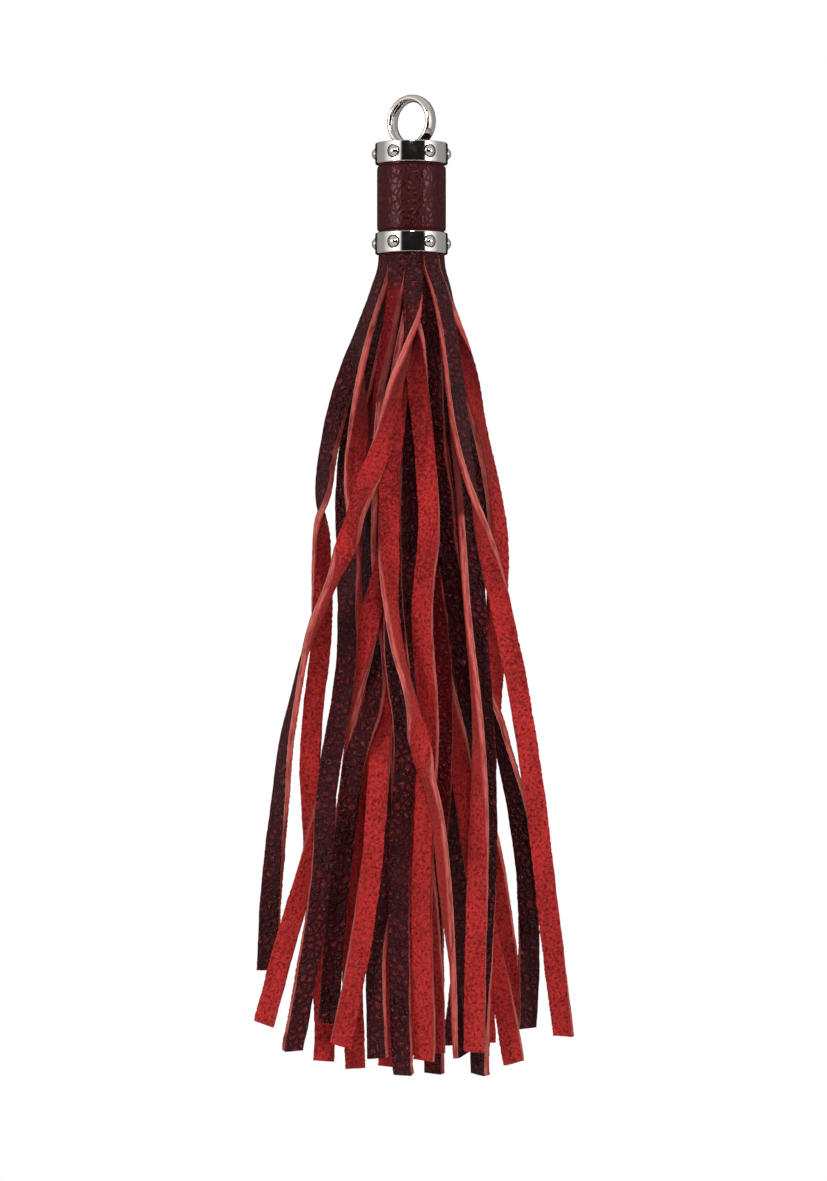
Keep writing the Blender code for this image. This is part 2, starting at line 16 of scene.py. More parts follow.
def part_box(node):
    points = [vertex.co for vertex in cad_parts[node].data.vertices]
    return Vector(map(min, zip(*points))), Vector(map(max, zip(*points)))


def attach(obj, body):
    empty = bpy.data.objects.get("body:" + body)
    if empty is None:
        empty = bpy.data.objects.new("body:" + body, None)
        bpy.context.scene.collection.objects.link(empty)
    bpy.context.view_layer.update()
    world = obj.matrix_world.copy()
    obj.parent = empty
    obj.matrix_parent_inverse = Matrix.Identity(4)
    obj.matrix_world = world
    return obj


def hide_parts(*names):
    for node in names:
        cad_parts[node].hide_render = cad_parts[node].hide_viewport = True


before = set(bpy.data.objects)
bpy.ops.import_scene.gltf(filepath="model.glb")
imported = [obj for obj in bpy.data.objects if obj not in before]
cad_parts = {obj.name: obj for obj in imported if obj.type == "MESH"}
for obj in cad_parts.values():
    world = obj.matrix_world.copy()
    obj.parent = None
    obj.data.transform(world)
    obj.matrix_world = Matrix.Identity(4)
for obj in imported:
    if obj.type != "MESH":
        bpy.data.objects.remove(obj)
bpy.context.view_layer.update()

# --- The strands ---------------------------------------------------------------------------
# Twenty-six laces of burgundy leather, cut side by side from the sheet that is rolled up to make
# the head. One side is pebbled grain, the other red suede, and the cut edges between are raw and
# paler. They are only held at their roots and fall as their bends were pressed in.

MM = 0.001
GAP = 0.0003  # between pieces that touch on the real thing
SKIRT_TOP_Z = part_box("band_bottom")[0].z  # the strands' drops are measured from here
COLLAR_LENGTH = 0.0024
STRAND_WIDTH = 0.0052
STRAND_THICK = 0.0019

# How the roots lie, and how strands that touch settle apart. These are the solid's own values.
ROOT_THICK = 0.0013
ROOT_DROP = -0.001
FULL_WIDTH_DROP = 0.034
STATION = 0.005
STRAND_GAP = 0.0006
SETTLE_ROUNDS = 220
FINAL_ROUNDS = 30
SMOOTHING_EVERY = 4
SETTLE_SHARE = 0.9
LONGEST_PUSH = 0.0008
HELD_DROP = 0.002
FREE_DROP = 0.008

# Strands grow from four rings of roots. A bearing is a level direction in degrees: 0 is forward
# and 90 is right. The width is what a root takes up in the bundle, the cut width what it shows.
RootRing = namedtuple("RootRing", "radius width cut_width")
OUTER = RootRing(0.0075, 0.0034, 0.0046)
MIDDLE = RootRing(0.0055, 0.0030, 0.0040)
INNER = RootRing(0.0034, 0.0026, 0.0030)
CENTRE = RootRing(0.0012, 0.0022, 0.0024)

# A strand has one row for each of its bends, from the root to the tip, in the columns of Bend:
# below the lower band, across to the right, toward the front, and the bearing that the grain
# side faces.
Strand = namedtuple("Strand", "ring bearing bends")
Bend = namedtuple("Bend", "drop_mm across_mm toward_mm facing_deg")
STRANDS = (
    Strand(OUTER, -94, (
        (12, -10.3, 0, -80), (22.5, -13.1, 1, -45), (33, -16.6, 2, -18), (53.5, -21.1, 3.5, -45),
        (62, -22, 4, -54), (66.5, -22.7, 4, -86), (71, -22.8, 4, -118), (80, -22.9, 4, -140),
        (103, -23.6, 2, -178), (116, -25.2, 1, -184), (131.5, -26.3, 0, -196),
        (150, -25.6, -2, -200), (201.7, -22.6, -7, -185),
    )),
    Strand(OUTER, -61, (
        (17.5, -10.5, 7, -66), (24, -11.7, 8.5, -76), (34, -12.8, 10.4, -98),
        (43.5, -13, 12, -130), (56.5, -14.1, 13.5, -148), (66.5, -14.5, 13, -120),
        (77, -14.8, 13, -60), (92, -15.6, 15, -30), (104, -15.3, 16.6, -12), (115.5, -16.1, 18, 0),
        (126, -17.9, 19, 0), (141, -20.3, 20, 0), (156, -21.8, 21, 10), (186.5, -26.8, 23, 22),
        (204.1, -30.1, 24, 24),
    )),
    Strand(OUTER, -29, (
        (16.5, -4.5, 10.5, -58), (24.5, -5.3, 12, -62), (33.5, -7.1, 13.5, -75),
        (46.5, -8.6, 14, -80), (64, -9.6, 11, -72), (79.5, -10.6, 8, -62), (95, -10.5, 8.5, -50),
        (108, -9.8, 13.5, -42), (116, -10.1, 18, -32), (124, -12, 20, -20), (131.5, -14.2, 19.3, -2),
        (142, -15.7, 18.8, 0), (150, -16.9, 18.6, 0), (166.5, -18.9, 19, 0), (197.8, -21.3, 21, 5),
    )),
    Strand(OUTER, 4, (
        (12.5, 0.3, 11.5, -22), (26, -1.3, 16, -98), (33.5, -3.8, 18.5, -113),
        (48, -6.7, 21.5, -155), (60, -11.2, 24, -196), (66, -13.4, 25, -222),
        (71, -14.9, 25.2, -222), (74.5, -16, 25.1, -198), (78, -17.4, 25, -152),
        (81.5, -18.8, 24.8, -120), (87, -21, 24.2, -107), (96, -24.8, 23, -101),
        (105, -27.5, 21.8, -86), (115.5, -29.8, 20, -76), (125.5, -31.9, 18, -64),
        (138.5, -33.4, 16, -50), (169.5, -36.4, 11.5, -17), (185.1, -37.2, 10, -12),
    )),
    Strand(OUTER, 41, (
        (8.5, 6.8, 8, 42), (54, 13.9, 19, 62), (92.5, 23, 23, 172), (105, 25.6, 22.5, 182),
        (201.2, 39, 17.5, 155),
    )),
    Strand(OUTER, 77, (
        (9.5, 9.1, 2.5, 84), (24, 12.2, 4, 150), (31.5, 14.3, 4.5, 205), (40.5, 16.3, 5, 232),
        (75.5, 22.3, 6, 218), (90, 21.7, 6, 205), (104, 21, 5, 206), (118.5, 20.1, 3, 208),
        (130, 19.4, -2, 204), (142, 18.8, -6, 196), (182, 18.7, -11, 180), (206.3, 19.5, -13, 178),
    )),
    Strand(OUTER, 108.5, (
        (19.5, 10.8, -4.5, 90), (64, 17.6, -3, 0), (80, 17.4, 0, -40), (88, 17.3, 3, -78),
        (96, 17.3, 5, -90), (104, 17.8, 7.6, -90), (111, 19.3, 9.4, -88), (119.5, 22.4, 10.4, -84),
        (128.5, 23.9, 11, -58), (141, 26.8, 12, -34), (187.5, 30.1, 14, 24),
        (199.6, 29.5, 14, 34),
    )),
    Strand(OUTER, 140, (
        (11.5, 5.9, -8, 135), (45, 9.4, -16.5, 60), (70, 11.4, -17, 10), (95, 11, -17, 6),
        (142.5, 10.8, -10, 0), (155.5, 11.9, -9, 0), (189.5, 12.9, -8, 8), (206.5, 10.6, -8, 10),
    )),
    Strand(OUTER, 171.5, (
        (11, 0.9, -11, 172), (47.5, 3.3, -20.5, 205), (74, 4.9, -23, 190), (100.5, 4.4, -24, 160),
        (164.5, 0.1, -27, 165), (211.7, 1.2, -30, 186),
    )),
    Strand(OUTER, -157, (
        (11, -3.3, -10.5, -160), (47.5, -6.5, -19.5, -200), (100.5, -7.8, -20.5, -180),
        (127, -6.8, -19, -172), (159, -6, -20, -176), (213.7, -6.2, -22, -184),
    )),
    Strand(OUTER, -125.5, (
        (27, -10.1, -10.5, -140), (74, -15.2, -16, -176), (127, -13.4, -14, -192),
        (153, -15, -12.5, -186), (180, -15.6, -11.5, -182), (212.9, -14.8, -11, -180),
    )),
    Strand(MIDDLE, -80, (
        (12, -6.1, 0, -70), (22, -9.5, -1, -50), (43, -15.6, 0, -15), (64, -17.9, 6, -5),
        (77, -17.3, 8, -25), (90, -17.7, 9, -70), (115.5, -18, 9, -108),
        (128.5, -19.9, 9.5, -116), (138.5, -21.3, 10.5, -132), (146.5, -23, 12, -148),
        (158, -26.1, 15, -166), (169, -29.6, 18, -178), (197.6, -37.5, 23, -190),
    )),
    Strand(MIDDLE, -35, (
        (12.5, -2.5, 6, -60), (33, -3.5, 10.5, -130), (54, -6, 15.5, -176), (64.5, -6.1, 18, -180),
        (78, -6, 20.5, -152), (90, -5.5, 22.5, -120), (101, -3.9, 23.5, -110), (115, -0.3, 24.5, -106),
        (121, 0.9, 24.8, -122), (126.5, 2.2, 25, -178), (132, 3.5, 25.2, -234),
        (142, 6.2, 25.4, -248), (155, 7.9, 25.1, -248), (163, 8.7, 24.8, -250),
        (181, 10.4, 24, -268), (205.6, 12.9, 21.5, -308),
    )),
    Strand(MIDDLE, 8, (
        (15, 0.4, 8, 90), (32, 0.8, 12.5, 162), (51.5, 3.1, 16, 178), (70.5, 4.5, 19.5, 158),
        (91, 2.8, 21, 154), (124, 3.9, 20.5, 150), (135.5, 3.2, 20.5, 156), (173.5, 1.3, 22.5, 156),
        (207, 2.9, 22.5, 156),
    )),
    Strand(MIDDLE, 50, (
        (10, 4.1, 6.5, 10), (23, 5.2, 9.5, -24), (33.5, 5.4, 11.5, -16), (54, 6.8, 13, -25),
        (64, 8.6, 13.5, -18), (74.5, 9.2, 13.5, -22), (87.5, 10.7, 12, -12), (126, 15.1, 5, 40),
        (149.5, 19.9, 1.5, 130), (199.6, 27.4, 2.5, 158),
    )),
    Strand(MIDDLE, 95, (
        (9.5, 5.8, 1.5, 92), (22.5, 7.9, 5, 92), (64, 11.5, 15.5, 90), (100, 14.9, 20, 92),
        (112.5, 16.3, 21, 98), (186, 16.2, 26, 168), (204.3, 16, 26, 158),
    )),
    Strand(MIDDLE, 140, (
        (22, 5.1, -5.5, 115), (53.5, 6.8, -4.5, 92), (84.5, 7.9, 0, 92), (113, 9.9, 9, 120),
        (122, 11.5, 10.5, 134), (144, 13.9, 12.5, 186), (168, 17.6, 12.5, 190),
        (192, 22.7, 19.5, 158), (207.6, 25.9, 22, 154),
    )),
    Strand(MIDDLE, -175, (
        (11.5, -1.4, -7, -175), (48, -1.4, -11, -140), (74, -1.6, -13, -160),
        (100.5, -1.7, -14, -178), (132, 2.6, -16, -196), (185, 3.2, -20, -184),
        (206, 3.4, -20.5, -180),
    )),
    Strand(MIDDLE, -130, (
        (11.5, -3.3, -4.5, -140), (27, -3, -6, -150), (48, -2.7, -6.5, -150),
        (84.5, -4.3, -2, -60), (128.5, -7.4, 11, -24), (153.5, -6.5, 14.5, -14),
        (164, -6.1, 17, -20), (181.5, -7.8, 21, -34), (206.3, -8.4, 22.5, -26),
    )),
    Strand(INNER, -52, (
        (25, -2.5, 5, -40), (48.5, -4.5, 9.5, -24), (74.5, -4.6, 14.5, 4), (102.5, -4.3, 16.5, 12),
        (113, -3.4, 17.5, 12), (141, -2.7, 20, 4), (156, -3.2, 21, 0), (210.4, -2, 22, -24),
    )),
    Strand(INNER, 20, (
        (38, 0.4, 7.5, 2), (48.5, -0.3, 11.5, 12), (58, -0.9, 13.5, 24), (79.5, -1, 16.5, 10),
        (92.5, -1, 17, 8), (115.5, 0.5, 14, 26), (166.5, 4.1, 14.5, 146), (192, 5.8, 18, 154),
        (205.4, 6, 19, 150),
    )),
    Strand(INNER, 92, (
        (12, 4.5, 0, 86), (48.5, 11, 8.5, 28), (77, 14.8, 13.5, 15), (90, 15.8, 15, 16),
        (146, 19.3, 18.5, 4), (161.5, 19.1, 18.5, 0), (210.8, 17.5, 18.5, -48),
    )),
    Strand(INNER, 164, (
        (11.5, 0.7, -4, 160), (48, 3.3, -3.5, 120), (74, 5.9, -4.5, 118), (100.5, 6.4, -6, 140),
        (126.5, 4.8, -8, 165), (179.5, 0.1, -12, 192), (203.1, -1.4, -13, 196),
    )),
    Strand(INNER, -124, (
        (11.5, -2.5, -2.5, -126), (48.5, -2.5, 1, -150), (87.5, -4.5, 8, -192),
        (113, -6.5, 16, -208), (133, -9.1, 20.7, -198), (156, -10.4, 23, -174),
        (176, -12.9, 24, -160), (203, -18, 24, -168),
    )),
    Strand(CENTRE, 90, (
        (12, 1.9, 1, 80), (25, 2.5, 1, 62), (72, 4.8, 8, 10), (84.5, 5.5, 10.5, 2),
        (97.5, 7.3, 13, -4), (110.5, 7.8, 14, -8), (136, 8, 12.5, -12), (164.5, 5.6, 10, -16),
        (177.5, 5.6, 9.5, -18), (211.8, 5.8, 8.5, -34),
    )),
    Strand(CENTRE, -90, (
        (56, -4.1, 5, -150), (69, -5.1, 8.5, -166), (81, -6.3, 12.3, -180), (100, -10, 16.5, -196),
        (115.5, -13.2, 16, -246), (136, -17.1, 14.2, -268), (146, -18.6, 13, -264),
        (172, -21.2, 11.5, -225), (187.5, -21.7, 11, -192), (208.4, -22.5, 11, -182),
    )),
)


def along(rows, drops):
    """The rows' columns at the given drops, on a smooth curve through every row."""
    row_drops = rows[:, 0]
    values = rows[:, 1:]
    slopes = np.gradient(values, row_drops, axis=0)
    first = np.clip(np.searchsorted(row_drops, drops) - 1, 0, len(rows) - 2)
    span = (row_drops[first + 1] - row_drops[first])[:, None]
    s = (drops - row_drops[first])[:, None] / span
    start = (2 * s**3 - 3 * s**2 + 1) * values[first] + (s**3 - 2 * s**2 + s) * span * slopes[first]
    end = (3 * s**2 - 2 * s**3) * values[first + 1] + (s**3 - s**2) * span * slopes[first + 1]
    return start + end


def eased(value, start, end):
    """0 before start and 1 after end, with a soft rise between."""
    share = np.clip((value - start) / (end - start), 0, 1)
    return share * share * (3 - 2 * share)


def lay_out(strands):
    """Where each strand's cross-sections lie before they settle.

    Returns the stations' drops, then for each strand and station: its (across, toward) place,
    its facing, its half (width, thickness), and whether the strand reaches that far.
    """
    longest = max(strand.bends[-1][0] for strand in strands) * MM
    drops = np.arange(ROOT_DROP, longest + STATION, STATION)
    shape = (len(strands), len(drops))
    place = np.zeros((*shape, 2))
    facing = np.zeros(shape)
    half = np.zeros((*shape, 2))
    reached = np.zeros(shape, bool)
    for k, strand in enumerate(strands):
        bearing = math.radians(strand.bearing)
        root = (strand.ring.radius * math.sin(bearing), strand.ring.radius * math.cos(bearing))
        rows = [(ROOT_DROP, *root, bearing), (COLLAR_LENGTH, *root, bearing)]
        for bend in starmap(Bend, strand.bends):
            place_m = (bend.drop_mm * MM, bend.across_mm * MM, bend.toward_mm * MM)
            rows.append((*place_m, math.radians(bend.facing_deg)))
        tip = rows[-1][0]
        columns = along(np.array(rows), np.minimum(drops, tip))
        place[k] = columns[:, :2]
        facing[k] = columns[:, 2]
        grown = eased(drops, 0, FULL_WIDTH_DROP)
        half[k, :, 0] = (strand.ring.width + (STRAND_WIDTH - strand.ring.width) * grown) / 2
        half[k, :, 1] = (ROOT_THICK + (STRAND_THICK - ROOT_THICK) * grown) / 2
        reached[k] = drops < tip + STATION
    return drops, place, facing, half, reached


def smoothed(values, rounds=1):
    """Each station's value averaged with its neighbours' along the strand."""
    for _ in range(rounds):
        inner = (values[:, :-2] + 2 * values[:, 1:-1] + values[:, 2:]) / 4
        values = np.concatenate([values[:, :1], inner, values[:, -1:]], axis=1)
    return values


def settle(drops, place, facing, half, reached):
    """Moves strands apart where they would pass through each other, mostly in depth."""
    one, other = np.triu_indices(len(place), 1)
    wide = np.stack([np.cos(facing), -np.sin(facing)], -1)
    face = np.stack([np.sin(facing), np.cos(facing)], -1)
    free = np.clip((drops - HELD_DROP) / (FREE_DROP - HELD_DROP), 0, 1)[:, None]
    moved = np.zeros_like(place)
    for round_number in range(SETTLE_ROUNDS):
        now = place + moved
        slope = np.gradient(now, drops, axis=1)
        lean = np.stack([(slope * wide).sum(-1), (slope * face).sum(-1)], -1)
        level_half = half * np.sqrt(1 + lean**2)
        apart = now[other] - now[one]
        widest = np.full(apart.shape[:2], -1.0)
        way = np.zeros_like(apart)
        for axis in (wide[one], face[one], wide[other], face[other]):
            reach = 0
            for side in (one, other):
                reach = reach + level_half[side, :, 0] * abs((axis * wide[side]).sum(-1))
                reach = reach + level_half[side, :, 1] * abs((axis * face[side]).sum(-1))
            clear = abs((apart * axis).sum(-1)) - reach - STRAND_GAP
            way = np.where((clear > widest)[..., None], axis, way)
            widest = np.maximum(widest, clear)
        overlap = np.where(reached[one] & reached[other], np.maximum(-widest, 0), 0)
        if not overlap.any():
            break
        way = way * np.where((apart * way).sum(-1) < 0, -1, 1)[..., None]
        deep = abs(way[..., 1]) > 0.5
        in_depth = np.stack([np.zeros_like(overlap), 1 / np.where(deep, way[..., 1], 1)], -1)
        push = overlap[..., None] / 2 * np.where(deep[..., None], in_depth, way)
        push[..., 1] = np.clip(push[..., 1], -LONGEST_PUSH, LONGEST_PUSH)
        step = np.zeros_like(place)
        np.add.at(step, other, push)
        np.add.at(step, one, -push)
        moved += SETTLE_SHARE * smoothed(step, 3) * free
        more_to_come = round_number < SETTLE_ROUNDS - FINAL_ROUNDS
        if more_to_come and round_number % SMOOTHING_EVERY == SMOOTHING_EVERY - 1:
            moved = smoothed(moved)
    return place + moved


# The blank: a flat strip that every strand is bent from.
STEPS_ALONG = 440
STEPS_ACROSS = 12
STEPS_THROUGH = 3
AT_SIDE = 0.99  # past this, a point of the blank is on its side
AT_TIP = 0.999  # and past this, on its tip
GRAIN_SIDE, SUEDE_SIDE, CUT_SIDE = range(3)


def cut_blank():
    """A strip from 0 to 1 along and from -1 to 1 across and through, with a material a side."""
    bm = bmesh.new()
    bmesh.ops.create_cube(bm, size=2)
    bmesh.ops.translate(bm, verts=bm.verts, vec=(1, 0, 0))
    bmesh.ops.scale(bm, verts=bm.verts, vec=(0.5, 1, 1))
    for axis, steps in enumerate((STEPS_ALONG, STEPS_ACROSS, STEPS_THROUGH)):
        lengthwise = [e for e in bm.edges if abs(e.verts[0].co[axis] - e.verts[1].co[axis]) > 0.9]
        bmesh.ops.subdivide_edges(bm, edges=lengthwise, cuts=steps - 1, use_grid_fill=True)
    bm.normal_update()
    for face in bm.faces:
        face.smooth = True
        face.material_index = CUT_SIDE
        if abs(face.normal.z) > 0.5:
            face.material_index = GRAIN_SIDE if face.normal.z > 0 else SUEDE_SIDE
    for edge in bm.edges:
        edge.smooth = len({face.material_index for face in edge.link_faces}) == 1
    mesh = bpy.data.meshes.new("strand_blank")
    bm.to_mesh(mesh)
    bm.free()
    return mesh


PATH_STEP = 0.0005
TIP_SPARE = 0.004  # the path goes on this far past the tip, for a slanting cut
CUP_FLAT_DROP = 0.026  # strands are cupped round the head at the root, and flat from here
CUP_RIPPLE = 14  # per metre, of the edges' slight curl further down
CUP_WAVES = (0.023, 0.041, 0.067)
THICK_RIPPLE = 0.07
THICK_WAVES = (0.031, 0.052, 0.083)
EDGE_CROWDING = 0.14  # how much the blank's rows crowd toward its cut edges
EDGE_WAVE = 0.00011  # by which the knife wandered
EDGE_WAVES = (0.0091, 0.0173, 0.037)
EDGE_NICK = 0.00004
NICK_WAVES = (0.0017, 0.0024, 0.0039)
HIDE_STEP = (0.37, 0.11, 0)  # from one strand's place in the leather's pattern to the next one's
GRAIN_EDGE_RADIUS = 0.00028
GRAIN_EDGE_FALL = 0.8  # how much of that radius the grain's edge falls by
PEBBLE_SIZE = 0.0019
PEBBLE_HEIGHT = 0.00007
PEBBLE_STEEPNESS = 1.6
PEBBLE_MIDDLE = 0.6  # the height of a pebble that lies level with the face
NAP_SIZE = 0.0007
NAP_HEIGHT = 0.00006
CUT_NAP_SIZE = 1.4 * NAP_SIZE
CUT_NAP_HEIGHT = 0.5 * NAP_HEIGHT
CUT_NAP_SHIFT = 3  # so that the cut's nap isn't the suede's
FRAY = 0.00012  # of the suede side's corner
FRAY_TOP = -0.2  # where the fray begins, from 1 at the grain to -1 at the suede
TIP_SLANT = 0.16
TIP_SLOPE = 0.1
TIP_LENGTH = 0.006


def ripple(place, wavelengths, rng):
    """Smooth random waves between about -1 and 1."""
    phases = rng.uniform(0, 2 * math.pi, len(wavelengths))
    waves = [np.sin(2 * math.pi * place / w + p) for w, p in zip(wavelengths, phases)]
    return sum(waves) / len(waves)


def pebbles(points, size):
    """Low domes, one for each pebble of the grain, from 0 in the creases to 1."""
    near = [noise.voronoi(Vector(p), distance_metric="DISTANCE")[0] for p in points / size]
    return np.array([min(1, PEBBLE_STEEPNESS * (second - first)) for first, second, *_ in near])


def nap(points, size):
    return np.array([noise.noise(Vector(p)) for p in points / size])


def bend_strand(number, strand, station_drops, place, facing, blank):
    """Shapes the flat strip's edges and faces, then bends it along the strand's path.

    Returns each vertex's place, its place in the flat leather, its depth from 0 at the grain to 1
    at the suede, and its drop in mm.
    """
    rng = np.random.default_rng(number)
    tip = strand.bends[-1][0] * MM
    fine = np.append(np.arange(ROOT_DROP, tip - PATH_STEP / 2, PATH_STEP), tip)
    columns = along(np.column_stack([station_drops, place, facing]), fine)
    path = np.column_stack([columns[:, 0], -columns[:, 1], SKIRT_TOP_Z - fine])
    lengths = np.append(0, np.cumsum(np.linalg.norm(np.diff(path, axis=0), axis=1)))
    down = np.gradient(path, lengths, axis=0)
    down /= np.linalg.norm(down, axis=1)[:, None]
    wide = np.column_stack([np.cos(columns[:, 2]), np.sin(columns[:, 2]), 0 * fine])
    wide -= down * (wide * down).sum(1)[:, None]
    wide /= np.linalg.norm(wide, axis=1)[:, None]
    face = np.cross(down, wide)
    frames = np.column_stack([path, wide, face, fine])
    past = np.concatenate([path[-1] + down[-1] * TIP_SPARE, wide[-1], face[-1], [tip]])
    frames = np.vstack([frames, past])
    lengths = np.append(lengths, lengths[-1] + TIP_SPARE)
    full_length = lengths[-2]

    u = blank[:, 0] * full_length
    across = blank[:, 1] * (1 + EDGE_CROWDING - EDGE_CROWDING * blank[:, 1] ** 2)
    through = blank[:, 2]
    drop = np.interp(u, lengths, frames[:, 9])
    grown = eased(drop, 0, FULL_WIDTH_DROP)
    half_width = (strand.ring.cut_width + (STRAND_WIDTH - strand.ring.cut_width) * grown) / 2
    half_thick = STRAND_THICK / 2 * (1 + THICK_RIPPLE * ripple(u, THICK_WAVES, rng))
    knife = [
        EDGE_WAVE * ripple(u, EDGE_WAVES, rng) + EDGE_NICK * ripple(u, NICK_WAVES, rng)
        for _ in range(2)
    ]
    half_width = half_width + np.where(across > 0, knife[0], knife[1]) * grown
    v = across * half_width
    w = through * half_thick
    flat = np.column_stack([u, v, w]) + number * np.array(HIDE_STEP)

    grain = through > AT_SIDE
    suede = through < -AT_SIDE
    from_edge = half_width - abs(v)
    rounding = np.clip(1 - from_edge / GRAIN_EDGE_RADIUS, 0, 1)
    w[grain] -= (GRAIN_EDGE_RADIUS * (1 - np.sqrt(1 - rounding**2)))[grain] * GRAIN_EDGE_FALL
    w[grain] += PEBBLE_HEIGHT * (pebbles(flat[grain], PEBBLE_SIZE) - PEBBLE_MIDDLE)
    w[suede] += NAP_HEIGHT * nap(flat[suede], NAP_SIZE)
    cut = abs(across) > AT_SIDE
    v[cut] += CUT_NAP_HEIGHT * nap(flat[cut] + CUT_NAP_SHIFT, CUT_NAP_SIZE)
    frayed = cut & (through < FRAY_TOP)
    v[frayed] += FRAY * rng.uniform(-0.5, 1, frayed.sum()) * np.sign(across[frayed])
    w[frayed] += FRAY * rng.uniform(-0.6, 0.6, frayed.sum())
    at_tip = eased(u, full_length - TIP_LENGTH, full_length)
    slant = rng.uniform(-TIP_SLANT, TIP_SLANT)
    ragged = CUT_NAP_HEIGHT * rng.uniform(-1, 1, len(u))
    u = u + at_tip * (slant * v + rng.uniform(-TIP_SLOPE, TIP_SLOPE) * w)
    tip_face = blank[:, 0] > AT_TIP
    u[tip_face] += ragged[tip_face]

    frame_here = np.column_stack([np.interp(u, lengths, column) for column in frames.T])
    cup = (1 - eased(drop, COLLAR_LENGTH, CUP_FLAT_DROP)) / strand.ring.radius
    cup = cup + CUP_RIPPLE * ripple(u, CUP_WAVES, rng) * grown
    turn = v * cup
    sideways = v * np.sinc(turn / math.pi) + w * np.sin(turn)
    outward = w * np.cos(turn) - v * turn / 2 * np.sinc(turn / (2 * math.pi)) ** 2
    points = frame_here[:, :3]
    points = points + sideways[:, None] * frame_here[:, 3:6] + outward[:, None] * frame_here[:, 6:9]
    return points, flat, (1 - through) / 2, drop / MM


# The leather's finishes. Each is a material of its own, from shared effects.
def screen(red, green, blue):
    """A colour for a shader, from the 0 to 255 values that a screen would show."""
    parts = [value / 255 for value in (red, green, blue)]
    return (*[((p + 0.055) / 1.055) ** 2.4 if p > 0.04 else p / 12.92 for p in parts], 1)


def feed(tree, socket, value):
    """Links a node's output to a socket, or sets the socket to a plain value."""
    if isinstance(value, bpy.types.NodeSocket):
        tree.links.new(value, socket)
    else:
        socket.default_value = value


def add_node(tree, kind, inputs=(), **settings):
    node = tree.nodes.new("ShaderNode" + kind)
    for name, value in settings.items():
        setattr(node, name, value)
    for name, value in dict(inputs).items():
        feed(tree, node.inputs[name], value)
    return node


def calculate(tree, operation, first, second=0.0):
    return add_node(tree, "Math", {0: first, 1: second}, operation=operation).outputs[0]


def times(tree, first, second):
    return calculate(tree, "MULTIPLY", first, second)


def calculate_vector(tree, operation, inputs):
    return add_node(tree, "VectorMath", inputs, operation=operation).outputs[0]


def mix(tree, factor, first, second):
    """Mixes two colours. The mix node's own colour sockets are its inputs 6 and 7."""
    inputs = {0: factor, 6: first, 7: second}
    return add_node(tree, "Mix", inputs, data_type="RGBA").outputs[2]


def rise(tree, value, start, end, low=0.0, high=1.0):
    """Low before start and high after end, with a soft rise between."""
    inputs = {"Value": value, "From Min": start, "From Max": end, "To Min": low, "To Max": high}
    return add_node(tree, "MapRange", inputs, interpolation_type="SMOOTHSTEP").outputs[0]


def stretch(tree, vector, scale):
    return add_node(tree, "Mapping", {"Vector": vector, "Scale": scale}).outputs[0]


def texture_noise(tree, vector, scale, detail=2.0, roughness=0.5):
    inputs = {"Vector": vector, "Scale": scale, "Detail": detail, "Roughness": roughness}
    return add_node(tree, "TexNoise", inputs).outputs["Fac"]


def texture_walls(tree, vector, scale):
    """How far a point is from the nearest wall between random cells."""
    inputs = {"Vector": vector, "Scale": scale}
    node = add_node(tree, "TexVoronoi", inputs, feature="DISTANCE_TO_EDGE")
    return node.outputs["Distance"]


def start_group(name, inputs, outputs):
    """A node group with named sockets. Returns it with its own input and output sockets."""
    tree = bpy.data.node_groups.new(name, "ShaderNodeTree")
    for socket_name, kind in inputs:
        tree.interface.new_socket(socket_name, in_out="INPUT", socket_type="NodeSocket" + kind)
    for socket_name, kind in outputs:
        tree.interface.new_socket(socket_name, in_out="OUTPUT", socket_type="NodeSocket" + kind)
    inside = tree.nodes.new("NodeGroupInput").outputs
    outside = tree.nodes.new("NodeGroupOutput").inputs
    return tree, inside, outside


def use_group(tree, group, **inputs):
    named = {name.replace("_", " ").capitalize(): value for name, value in inputs.items()}
    return add_node(tree, "Group", named, node_tree=group).outputs


def make_pebble_group():
    """Tumbled grain: rounded pebbles parted by creases, with smaller ones among them."""
    tree, inside, outside = start_group(
        "pebbled_grain",
        (("Place", "Vector"), ("Pebble size", "Float")),
        (("Height", "Float"), ("Crease", "Float"), ("Tone", "Float")),
    )
    place = inside["Place"]
    density = calculate(tree, "DIVIDE", 1.0, inside["Pebble size"])
    warp_inputs = {"Vector": place, "Scale": density, "Detail": 1.0}
    warp = add_node(tree, "TexNoise", warp_inputs).outputs["Color"]
    wander = calculate_vector(tree, "SUBTRACT", {0: warp, 1: (0.5, 0.5, 0.5)})
    reach = times(tree, inside["Pebble size"], 0.5)
    wander = calculate_vector(tree, "SCALE", {0: wander, "Scale": reach})
    moved = calculate_vector(tree, "ADD", {0: place, 1: wander})
    wall = texture_walls(tree, moved, density)
    small_wall = texture_walls(tree, moved, times(tree, density, 2.1))
    dome = rise(tree, wall, 0.0, 0.32)
    small_dome = rise(tree, small_wall, 0.0, 0.3)
    fine = texture_noise(tree, place, times(tree, density, 3.0), 3.0)
    height = times(tree, dome, 0.7)
    for part, share in ((small_dome, 0.25), (fine, 0.12)):
        height = calculate(tree, "ADD", height, times(tree, part, share))
    feed(tree, outside["Height"], height)
    broad = texture_noise(tree, place, times(tree, density, 0.22), 2.0)
    between = rise(tree, wall, 0.0, 0.24, 1.0, 0.0)
    depth = rise(tree, broad, 0.35, 0.6, 0.55)
    feed(tree, outside["Crease"], times(tree, between, depth))
    feed(tree, outside["Tone"], rise(tree, broad, 0.3, 0.7))
    return tree


